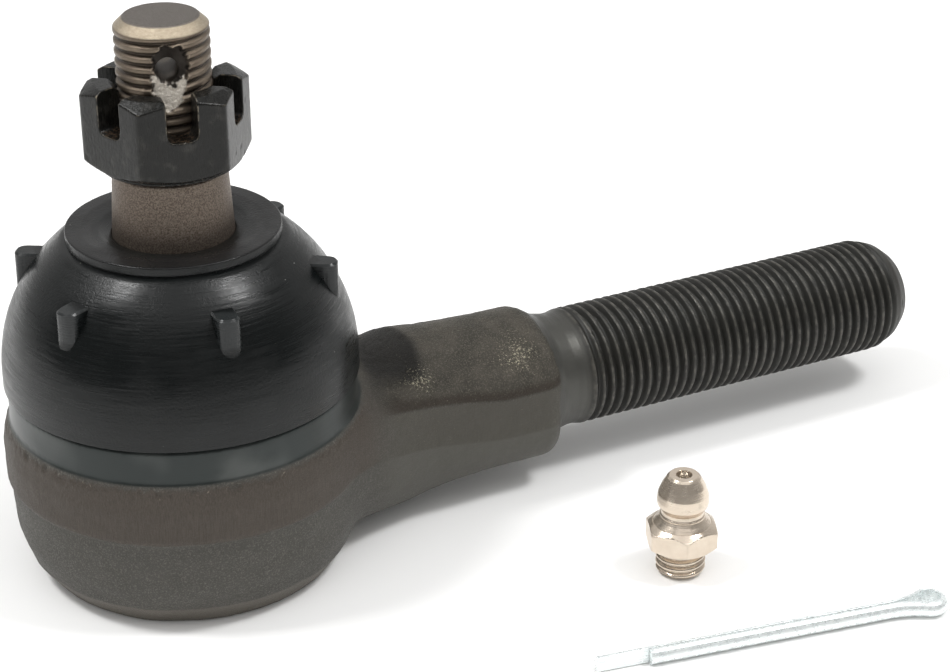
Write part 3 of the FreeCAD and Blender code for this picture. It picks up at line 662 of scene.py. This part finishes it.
def plain_steel(name, dark, light, roughness, metallic, marks=(0.03, 0.03, 1), relief=0.02):
    """Turned or pressed steel for the pieces inside, with marks drawn out across Z."""
    finish = Finish(name, light, roughness, metallic=metallic)
    turning = finish.noise(5.0, stretch=marks, detail=3)
    cloud = finish.noise(0.7, detail=4)
    finish.set("Base Color", finish.mix(finish.ramp(cloud, 0.3, 0.7), dark, light))
    finish.set("Roughness", finish.ramp(turning, 0.3, 0.7, roughness - 0.08, roughness + 0.1))
    finish.bump(turning, relief)
    return finish.material


# ---- pieces ----

def head_outline():
    """Half section of the socket: its outside, its collar and the bore that holds the bearing."""
    band, collar, boss, shoulder = band_radius, housing_high.z, BOSS_RADIUS, boot_low.z - 0.05
    return rounded([
        (14.4, 1.5, 0.2), (14.4, 0.0, 0.4), (18.2, 0.0, 0.3), (20.35, FOOT_HEIGHT, 0.5),
        (21.5, 6.4, 8.0), (21.75, 10.5, 8.0), (21.8, 12.95, 0.2), (band, BAND_BOTTOM, 0.3),
        (band, 17.2, 3.0), (band - 0.4, 19.7, 0.3), (band - 0.65, BAND_TOP, 0.3),
        (boss, BOSS_BOTTOM, 0.2), (boss, shoulder, 0.4),
        (16.8, shoulder, 0.2), (16.8, collar, 0.4), (12.3, collar, 0.4), (9.9, 20.0, 0.3),
        (15.0, 20.0, 0.2), (15.0, 4.0, 0.2), (15.6, 4.0, 0.2), (15.6, 1.5, 0.2),
    ], 0.5, closed=True)


def neck_grid():
    """Rows of points along the neck: round above and below, flat where the flash was cut."""
    stations = np.array([
        # x, half width, then above the shank's axis: crest, keel, top and bottom of the flats
        (14.0, 15.8, 10.2, -11.8, 7.0, 1.0),
        (18.0, 14.1, 10.4, -11.8, 6.8, 0.8),
        (21.0, 12.7, 10.5, -12.0, 6.3, 0.3),
        (24.0, 11.5, 10.6, -12.1, 5.7, -0.3),
        (27.0, 10.6, 10.7, -11.9, 4.9, -1.2),
        (30.0, 10.0, 10.5, -11.2, 4.2, -1.8),
        (34.0, 9.8, 10.1, -10.4, 3.5, -2.3),
        (38.0, 9.8, 9.9, -9.9, 3.0, -2.6),
        (44.0, 9.8, 9.8, -9.9, 2.7, -2.75),
        (49.2, 9.8, 9.8, -9.9, 2.6, -2.75),
    ])
    corner, saddle_rise = 2.8, 7.9
    x = np.linspace(stations[0, 0], stations[-1, 0], 150)
    width, crest, keel, top, bottom = [np.interp(x, stations[:, 0], column)
                                       for column in stations.T[1:]]
    past = np.clip(x - x[-1] + corner, 0, corner)
    inset = corner - np.sqrt(corner ** 2 - past ** 2)
    width, crest, keel = width - inset, crest - inset, keel + inset
    turn = np.linspace(0, math.pi, 72)[None]
    y = width[:, None] * np.cos(turn)
    from_stud = np.hypot(x[:, None], y)
    along = np.clip((from_stud - SADDLE_START) / (SADDLE_END - SADDLE_START), 0, 1)
    low = np.minimum(saddle_rise, crest)[:, None]
    level = low + (crest[:, None] - low) * along ** 2.4
    level = np.maximum(level, top[:, None])
    crown = top[:, None] + (level - top[:, None]) * (0.55 * np.sin(turn) + 0.45 * np.sin(turn) ** 2)
    under = bottom[:, None] + (keel - bottom)[:, None] * np.sin(turn) ** 0.7
    rows = [np.stack([x[:, None] + 0 * y, y, crown + shank_height], -1),
            np.stack([x[:, None] + 0 * y, -y, under + shank_height], -1)]
    return np.concatenate(rows, 1)


def make_forging(material):
    """Socket and neck: fused, filleted where they meet, then given its forged skin."""
    head = lathe("socket_forging", head_outline(), 480, closed=True)
    neck = add_grid("neck", neck_grid())
    piece = joined([head, neck])
    voxel = 0.3
    fused(piece, voxel, 2)
    points = points_of(piece)
    radius = np.hypot(points[:, 0], points[:, 1])
    outside = smoothstep((radius - 20.0) / 1.2) * (points[:, 2] < 24.2)
    away = np.abs(radius - 23.4) / 4.2
    junction = smoothstep(1.35 - away) * outside * smoothstep((points[:, 0] - 13.0) / 5)
    below_boss = smoothstep((22.2 - points[:, 2]) / 1.6)
    relaxed(piece, junction * below_boss * 0.7, 80)

    points = points_of(piece)
    radius = np.hypot(points[:, 0], points[:, 1])
    x, z = points[:, 0], points[:, 2]
    outer = smoothstep((radius - 17.5) / 1.0)
    machined = np.clip(smoothstep((z - BAND_TOP + 0.2) / 0.5) * smoothstep((22.5 - x) / 3), 0, 1)
    neck_top = smoothstep((x - 21) / 4) * smoothstep((z - 14.5) / 2)
    lumps = grain(points, 0.18) * 0.14 + grain(points, 0.6, 11) * 0.05
    fine = grain(points, 1.6, 23) * 0.03
    pits = np.minimum(grain(points, 0.9, 37) + 0.1, 0) * 0.15
    offset = (lumps + fine + pits * neck_top) * (1 - machined) * outer
    ragged = np.exp(-((z - BAND_TOP + 0.5) / 0.5) ** 2) * smoothstep((radius - 21.4) / 0.4)
    chips = np.minimum(grain(points, 0.75, 51) + 0.12, 0) + np.minimum(grain(points, 2.1, 53), 0) * 0.5
    offset += ragged * chips * 0.7 * smoothstep((23 - x) / 3)
    displaced(piece, offset)
    mark_ridges(piece, voxel)
    piece.data.materials.append(material)
    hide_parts("housing")
    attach(piece, "socket")


def make_shank(material):
    """The shank with its rolled helical thread, from inside the neck to the rounded tip."""
    plain, tip = shank_radius - 0.28, housing_high.x
    start, run_in = THREAD_START, 1.6
    pitch, depth = 1.411, 0.8
    outline = rounded([
        (4.0, 40.0, 0.1), (plain + 2.0, 40.0, 0.2), (plain + 1.5, 48.2, 0.5),
        (plain + 0.45, 49.8, 1.6), (plain, 52.0, 2.0), (plain, start - 0.9, 0.8),
        (shank_radius, start + 0.3, 0.6), (shank_radius, tip - 4.6, 2.4),
        (shank_radius - 0.9, tip - 2.2, 1.8), (shank_radius - 2.4, tip - 0.3, 1.2),
        (shank_radius - 3.9, tip, 0.9), (0.6, tip, 0.1),
    ], 0.11)

    def thread(radius, along, angle):
        fade = smoothstep((along - start) / run_in) * smoothstep((tip - 3.0 - along) / 1.6)
        groove = thread_groove(along / pitch - angle / math.tau, 0.9)
        return radius - depth * groove * fade

    piece = lathe("threaded_shank", outline, 224, thread)
    points = points_of(piece)
    points = np.stack([points[:, 2], points[:, 0], points[:, 1] + shank_height], -1)
    nicks = np.minimum(grain(points, 1.3, 71) + 0.42, 0) * 0.22
    set_points(piece, points)
    displaced(piece, nicks * (points[:, 0] > start))
    piece.data.materials.append(material)
    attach(piece, "socket")


def make_stud(material):
    """Ball stud with a rolled thread, blasted taper, and a torn edge round the pin hole."""
    thread_radius, pitch, depth = 5.556, 1.27, 0.46
    start, top = 54.6, stud_high.z
    ball, heel_radius, heel_edge = stud_low.z + 6.4, 6.4, 6.18
    heel = [(heel_radius * math.sin(t), ball - heel_radius * math.cos(t), 0.1)
            for t in np.linspace(0.08, math.asin(heel_edge / heel_radius), 9)]
    outline = rounded(heel + [
        (10.6, heel[-1][1], 0.3), (10.6, ball - 0.55, 0.3), (6.0, ball - 0.55, 0.3),
        (6.0, ball + 8.4, 0.2), (5.9, ball + 8.6, 0.2), (5.9, 36.5, 1.0), (7.5, 40.6, 0.6),
        (7.5, 41.0, 0.6), (6.8, 52.0, 0.35), (5.0, 52.5, 0.3), (5.0, start - 0.7, 0.4),
        (thread_radius, start, 0.3), (thread_radius, top - 1.15, 0.35),
        (4.35, top, 0.3), (0.4, top, 0.1),
    ], 0.085)

    def near_hole(height, angle):
        turned = (angle - hole_azimuth + math.pi) % math.tau - math.pi
        return turned * thread_radius, height - hole_height

    def torn_area(points, across, up):
        jag = grain(points, 1.1, 5) * 0.55 + grain(points, 3.0, 9) * 0.25
        width = np.interp(up, [-4.7, -3.9, -2.2, -0.8], [0.4, 1.4, 2.1, 2.2])
        edge = width + jag - np.abs(across - 0.2)
        return smoothstep(edge / 0.35) * (up < -0.4) * (up > -4.8) * (np.abs(across) < 4.0)

    def sunk_area(points, across, up):
        """The countersink, with its distance from the hole's middle."""
        wobble = grain(points, 0.9, 3) * 0.5 + grain(points, 2.6, 15) * 0.3
        distance = np.hypot(across - 0.5, up - 0.75)
        edge = 2.45 + wobble - distance
        return smoothstep(edge / 0.3) * (np.abs(across) < 4.0), distance

    def turned_shape(radius, height, angle):
        fade = smoothstep((height - start + 0.3) / 0.5) * smoothstep((top - 1.0 - height) / 0.9)
        groove = thread_groove(height / pitch - angle / math.tau, 0.78)
        places = polar(radius, height, angle)
        uneven = 1 - 0.25 * np.clip(grain(places, 0.35, 27) + 0.3, 0, 1)
        radius = radius - depth * groove * fade * uneven
        across, up = near_hole(height, angle)
        sunk, distance = sunk_area(places, across, up)
        cone = thread_radius - 0.45 - np.clip(2.6 - distance, 0, 2) * 0.5
        radius = radius * (1 - sunk) + np.minimum(cone, radius) * sunk
        torn = torn_area(places, across, up) * (1 - sunk)
        rough = thread_radius - 0.42 + grain(places, 2.4, 13) * 0.14
        return radius * (1 - torn) + rough * torn

    piece = lathe("ball_stud_turned", outline, 384, turned_shape)
    drill = lathe("drill", rounded([(hole_radius, -9, 0.1), (hole_radius, 9, 0.1)], 3.0), 48)
    tilt = Vector((0, 0, 1)).rotation_difference(hole_axis).to_matrix().to_4x4()
    drill.data.transform(Matrix.Translation(Vector((0, 0, hole_height)) * MM) @ tilt)
    combined(piece, [drill], "DIFFERENCE")
    mark_ridges(piece, 0.085)
    points = points_of(piece)
    across, up = near_hole(points[:, 2], np.arctan2(points[:, 1], points[:, 0]))
    outside = np.hypot(points[:, 0], points[:, 1]) > 3.4
    sunk = sunk_area(points, across, up)[0] * outside
    store(piece, "torn", torn_area(points, across, up) * outside * (1 - sunk))
    store(piece, "sunk", sunk)
    piece.data.materials.append(material)
    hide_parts("ball_stud")
    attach(piece, "stud")


def make_nut(material):
    """Castle nut: a chamfered hexagon with six slots whose floors are rounded."""
    across, bore = 17.6, 5.62
    low, high = nut_low.z, nut_high.z
    edge = across / 2
    outline = rounded([
        (bore + 1.2, low, 0.2), (8.3, low, 0.15), (8.3, low + 0.5, 0.1), (edge + 2, low + 0.55, 0.1),
        (edge + 2, high, 0.1), (bore + 0.9, high, 0.2), (bore, high - 0.7, 0.2), (bore, low + 0.8, 0.2),
    ], 0.12, closed=True)

    def body(radius, height, angle):
        top = edge - 0.55 + (high - height) * 1.7
        bottom = edge - 0.2 + (height - low - 0.5) * 1.7
        outer = np.minimum(np.minimum(hexagon_radius(across, angle, NUT_AZIMUTH), top), bottom)
        return np.where(radius > 8.35, np.maximum(outer, 8.3), radius)

    piece = lathe("castle_nut_slotted", outline, 360, body, closed=True)
    width, depth = 3.6, 5.0
    slot = rounded([
        (-width / 2, high + 2, 0.1), (-width / 2, high - depth, 1.15),
        (width / 2, high - depth, 1.15), (width / 2, high + 2, 0.1),
    ], 0.3, closed=True)
    cutters = []
    for number in range(3):
        ends = [np.stack([0 * slot[:, 0] + end, slot[:, 0], slot[:, 1]], -1) for end in (-14, 14)]
        cutter = add_grid(f"slot_{number}", np.stack(ends))
        turn = Matrix.Rotation(math.radians(NUT_AZIMUTH + 60 * number), 4, "Z")
        cutter.data.transform(turn)
        cutters.append(cutter)
    combined(piece, cutters, "DIFFERENCE")
    voxel = 0.11
    fused(piece, voxel, 5)
    points = points_of(piece)
    dents = np.minimum(grain(points, 0.7, 91) + 0.45, 0) * 0.25
    displaced(piece, dents + grain(points, 2.0, 17) * 0.008)
    mark_ridges(piece, voxel)
    piece.data.materials.append(material)
    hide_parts("castle_nut")
    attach(piece, "nut")


def make_boot(material):
    """Dust boot: dome with a sharp rim, disc round the stud, and six round-nosed lugs."""
    seat, top, rim = boot_low.z, boot_high.z, boot_high.x
    dome, dome_middle, dome_height = 20.25, 1.45, 26.87
    disc, disc_low = 12.9, top - 1.3
    foot = math.asin((seat + 1.1 - dome_height) / dome)
    head = math.asin((disc_low - 0.15 - dome_height) / dome)
    wall = 2.1

    def dome_arc(radius, angles):
        return [(dome_middle + radius * math.cos(t), dome_height + radius * math.sin(t), 1.0)
                for t in angles]

    outer = dome_arc(dome, np.linspace(foot, head, 24))
    inner = dome_arc(dome - wall, np.linspace(math.radians(52), math.radians(8), 12))
    outline = rounded([
        (16.9, seat, 0.15), (rim - 0.4, seat, 0.1), (rim, seat + 0.15, 0.08),
    ] + outer + [
        (disc - 0.25, disc_low, 0.15), (disc, disc_low + 0.25, 0.2), (disc, top, 0.25),
        (11.0, top - 0.02, 1.0), (9.0, top - 0.25, 1.2), (7.34, top - 0.75, 0.2),
        (7.44, disc_low - 0.6, 0.3),
    ] + inner + [(19.2, seat + 3.7, 0.4), (16.9, seat + 3.3, 0.3)], 0.45, closed=True)

    def moulded(radius, height, angle):
        places = polar(radius, height, angle)
        wave = grain(places, 0.12, 31) * 0.1
        ripple = grain(places * (0.25, 0.25, 1), 0.8, 41) * 0.02
        return radius + (wave + ripple) * (radius > 13.2) * (radius < rim - 0.4)

    piece = lathe("dust_boot_moulded", outline, 360, moulded, closed=True)
    reach, nose, foot_height, lug_top = 19.7, 1.5, 32.0, 40.4
    lug = rounded([
        (13.0, -nose - 0.1, 0.1), (reach, -nose, 1.45), (reach, nose, 1.45), (13.0, nose + 0.1, 0.1),
    ], 0.2, closed=True)
    lugs = []
    for number in range(6):
        turn = math.radians(LUG_AZIMUTH + 60 * number)
        rows = []
        for height, shrink in ((foot_height, 0), (37.0, 0), (lug_top - 0.25, 0), (lug_top, 0.22)):
            lean = (height - foot_height) * 0.012
            x = lug[:, 0] - shrink - lean
            y = lug[:, 1] * (1 - (shrink + lean) / nose)
            rows.append(turned(x, y, 0 * x + height, turn))
        lugs.append(add_grid(f"lug_{number}", np.stack(rows)))
    combined(piece, lugs, "UNION")
    piece.data.set_sharp_from_angle(angle=math.radians(40))
    mark_ridges(piece, 0.4)
    rest = piece.data.attributes.new("rest", "FLOAT_VECTOR", "POINT")
    rest.data.foreach_set("vector", (points_of(piece) * MM).astype(np.float32).ravel())
    piece.data.materials.append(material)
    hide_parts("dust_boot")
    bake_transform(piece)


def make_fitting(material):
    """Straight grease fitting: turned body with a helical thread, and a chamfered hexagon."""
    low, top = fitting_low.z, fitting_high.z
    thread, pitch = 3.12, 0.907
    outline = rounded([
        (0.85, low, 0.1), (2.55, low, 0.25), (thread, low + 0.55, 0.2), (thread, 3.1, 0.3),
        (2.7, 3.4, 0.2), (2.7, 3.95, 0.2), (3.9, 4.0, 0.2), (3.9, 6.7, 0.9), (3.05, 7.6, 0.6),
        (2.75, 7.95, 0.2), (2.85, 8.1, 0.1), (2.66, 8.3, 0.1), (2.62, 8.75, 0.3), (2.9, 9.1, 0.5),
        (3.2, 9.6, 0.5), (3.26, 10.2, 0.6), (3.14, 11.1, 1.2), (2.72, 12.2, 2.5),
        (2.1, top - 0.3, 0.3), (1.8, top, 0.15), (0.98, top, 0.12), (0.95, top - 1.0, 0.1),
        (1.35, top - 1.7, 0.1), (1.35, 1.0, 0.1), (0.85, 1.0, 0.1),
    ], 0.1, closed=True)

    def rolled(radius, height, angle):
        fade = smoothstep((height - 0.2) / 0.5) * smoothstep((3.3 - height) / 0.3)
        groove = thread_groove(height / pitch - angle / math.tau, 0.85)
        return np.where(radius > 2.4, radius - 0.42 * groove * fade * (height < 3.4), radius)

    piece = lathe("grease_fitting_turned", outline, 240, rolled, closed=True, centre=fitting_centre)
    across, base, crown = 8.3, 3.8, 7.0
    flats = rounded([(1.6, base, 0.1), (5.2, base, 0.1), (5.2, crown, 0.1), (1.6, crown, 0.1)],
                    0.08, closed=True)

    def hexagon(radius, height, angle):
        top_limit = across / 2 - 0.45 + (crown - height) * 1.25
        low_limit = across / 2 - 0.1 + (height - base) * 1.6
        outer = np.minimum(hexagon_radius(across, angle, FITTING_AZIMUTH), top_limit)
        return np.where(radius > 3.0, np.minimum(outer, low_limit), radius)

    nut = lathe("fitting_hexagon", flats, 360, hexagon, closed=True, centre=fitting_centre)
    nut.data.set_sharp_from_angle(angle=math.radians(30))
    joined([piece, nut])
    piece.data.materials.append(material)
    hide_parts("grease_fitting_body")
    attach(piece, "fitting")


def make_check_spring(material):
    """The coil under the check ball."""
    low, high = span("grease_check_spring")
    wire, coil, turns = 0.16, 0.84, 9
    turn = np.linspace(0, math.tau * turns, 24 * turns)[:, None]
    around = np.linspace(0, math.tau, 12, endpoint=False)[None]
    rise = low.z + wire + (high.z - low.z - 2 * wire) * turn / turn[-1]
    radius, height = coil + wire * np.cos(around), rise + wire * np.sin(around)
    piece = add_grid("check_spring_coil", polar(radius, height, turn, fitting_centre))
    piece.data.materials.append(material)
    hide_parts("grease_check_spring")
    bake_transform(piece)


def make_cotter_pin(material):
    """Half-round wire folded into two unequal legs and an eye, swept along its centre line."""
    wire, gap = 1.05, 0.06
    eye, bend, long_leg, short_leg = 1.3, 12.0, 37.5, 31.0
    reach = math.sqrt((eye + bend) ** 2 - (gap + bend) ** 2)
    lean = math.atan2(gap + bend, reach)
    path = [(-long_leg + distance, gap) for distance in np.linspace(0, long_leg, 60)[:-1]]
    path += [(bend * math.sin(t), gap + bend - bend * math.cos(t))
             for t in np.linspace(0, math.pi / 2 - lean, 14)]
    path += [(reach + eye * math.cos(t), eye * math.sin(t))
             for t in np.linspace(math.pi - lean, -math.pi + lean, 60)[1:-1]]
    path += [(bend * math.sin(t), -gap - bend + bend * math.cos(t))
             for t in np.linspace(math.pi / 2 - lean, 0, 14)]
    path += [(-distance, -gap) for distance in np.linspace(0, short_leg, 50)[1:]]
    path = np.array(path)
    along = np.gradient(path, axis=0)
    along /= np.hypot(*along.T)[:, None]
    outward = np.stack([-along[:, 1], along[:, 0]], -1)
    half_round = [(wire * 0.98 * math.sin(t), wire * math.cos(t), 0.1)
                  for t in np.linspace(0.1, math.pi - 0.1, 15)]
    ends = (0.0, wire - 0.03, 0.2), (0.0, -wire + 0.03, 0.2)
    section = rounded([ends[0], *half_round, ends[1]], 0.25, closed=True)
    section[:, 1] += wire
    turn = math.radians(PIN_AZIMUTH)
    rows = []
    for (x, y), (out_x, out_y) in zip(path, outward):
        out = section[:, 0]
        rows.append(turned(x + out_x * out, y + out_y * out, section[:, 1], turn))
    grid = np.stack(rows)
    corner = grid.reshape(-1, 3)
    shift = [pin_low.x - corner[:, 0].min(), pin_low.y - corner[:, 1].min(), 0]
    piece = add_grid("cotter_pin_folded", grid + np.array(shift))
    points = points_of(piece)
    displaced(piece, grain(points, 0.9, 61) * 0.02)
    bevel = piece.modifiers.new("Cut ends", "BEVEL")
    bevel.width = 0.08 * MM
    bevel.segments = 2
    bevel.limit_method = "ANGLE"
    bevel.angle_limit = math.radians(60)
    applied(piece)
    piece.data.set_sharp_from_angle(angle=math.radians(50))
    piece.data.materials.append(material)
    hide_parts("cotter_pin")
    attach(piece, "split_pin")


def finish_inner_nodes():
    """Materials for the CAD pieces that keep their own shape."""
    looks = {
        "cover_plate": ("pressed_steel", (0.07, 0.065, 0.06), (0.15, 0.14, 0.13), 0.45, 0.6),
        "preload_spring": ("spring_steel", (0.1, 0.09, 0.085), (0.2, 0.19, 0.18), 0.36, 0.8),
        "pressure_pad": ("sintered_iron", (0.12, 0.115, 0.11), (0.24, 0.23, 0.22), 0.6, 0.5,
                         (1, 1, 1), 0.06),
        "bearing_race": ("race_steel", (0.3, 0.3, 0.3), (0.46, 0.46, 0.45), 0.3, 0.9),
        "half_ball_bearing": ("ball_steel", (0.36, 0.36, 0.36), (0.52, 0.52, 0.51), 0.22, 0.95),
        "boot_insert_ring": ("ring_steel", (0.08, 0.075, 0.07), (0.16, 0.15, 0.14), 0.45, 0.6),
        "grease_check_ball": ("check_steel", (0.5, 0.49, 0.46), (0.66, 0.64, 0.6), 0.16, 1.0),
    }
    for node, look in looks.items():
        mesh = frame["nodes"][node].data
        mesh.materials.clear()
        mesh.materials.append(plain_steel(*look))


# ---- surroundings ----

def aim(item, target):
    item.rotation_euler = (Vector(target) - item.location).to_track_quat("-Z", "Y").to_euler()


def add_softbox(name, azimuth, elevation, distance, size, power):
    """A square soft light that shines at the boot from that direction."""
    light = bpy.data.lights.new(name, "AREA")
    light.shape = "RECTANGLE"
    light.size, light.size_y = size
    light.energy = power
    lamp = bpy.data.objects.new(name, light)
    a, e = math.radians(azimuth), math.radians(elevation)
    target = Vector((0.02, -0.01, 0.03))
    lamp.location = target + distance * Vector((math.cos(a) * math.cos(e), math.sin(a) * math.cos(e),
                                                math.sin(e)))
    aim(lamp, target)
    scene.collection.objects.link(lamp)


def add_surroundings():
    """Pale floor and softboxes, in a room that is white behind the part and dark before it."""
    half = 3.0
    mesh = bpy.data.meshes.new("floor")
    corners = [(-half, -half, 0), (half, -half, 0), (half, half, 0), (-half, half, 0)]
    mesh.from_pydata(corners, [], [(0, 1, 2, 3)])
    floor = bpy.data.objects.new("floor", mesh)
    scene.collection.objects.link(floor)
    pale = Finish("pale_floor", (0.9, 0.9, 0.895), 0.8, Specular_IOR_Level=0.1)
    mesh.materials.append(pale.material)
    floor.location.z = -0.0001

    world = bpy.data.worlds.new("room")
    scene.world = world
    world.use_nodes = True
    nodes, links = world.node_tree.nodes, world.node_tree.links
    direction = nodes.new("ShaderNodeTexCoord").outputs["Generated"]
    behind = nodes.new("ShaderNodeVectorMath")
    behind.operation = "DOT_PRODUCT"
    behind.inputs[1].default_value = (0.46, 0.89, 0.0)
    links.new(direction, behind.inputs[0])
    reflected = nodes.new("ShaderNodeMapRange")
    for name, value in (("From Min", -0.2), ("From Max", 0.75), ("To Min", 0.13), ("To Max", 0.62)):
        reflected.inputs[name].default_value = value
    links.new(behind.outputs["Value"], reflected.inputs["Value"])
    strength = nodes.new("ShaderNodeMix")
    strength.inputs[2].default_value = 0.7
    links.new(nodes.new("ShaderNodeLightPath").outputs["Is Glossy Ray"], strength.inputs[0])
    links.new(reflected.outputs["Result"], strength.inputs[3])
    background = nodes["Background"]
    background.inputs["Color"].default_value = (1.0, 0.995, 0.985, 1)
    links.new(strength.outputs[0], background.inputs["Strength"])

    add_softbox("softbox_left", 160, 60, 0.9, (0.19, 0.16), 4.2)
    add_softbox("softbox_right", -35, 59, 0.9, (0.17, 0.17), 3.5)
    add_softbox("softbox_front", -109, 66, 1.4, (1.2, 0.8), 2.6)


def add_camera():
    camera = bpy.data.objects.new("camera", bpy.data.cameras.new("camera"))
    camera.location = (-0.0849, -0.2423, 0.1580)
    camera.rotation_euler = (math.radians(63.18), 0, math.radians(-27.35))
    camera.data.sensor_width = 36.0
    camera.data.lens = 88.47
    camera.data.clip_start = 0.01
    scene.collection.objects.link(camera)
    scene.camera = camera


add_camera()
add_surroundings()
scene.view_settings.view_transform = "Standard"

make_forging(forged_steel())
make_shank(threaded_steel())
make_stud(stud_steel())
make_nut(black_oxide())
make_boot(boot_rubber())
make_fitting(nickel_plate())
make_cotter_pin(zinc_plate())
make_check_spring(plain_steel("coil_steel", (0.3, 0.29, 0.28), (0.5, 0.49, 0.47), 0.3, 0.9))
finish_inner_nodes()
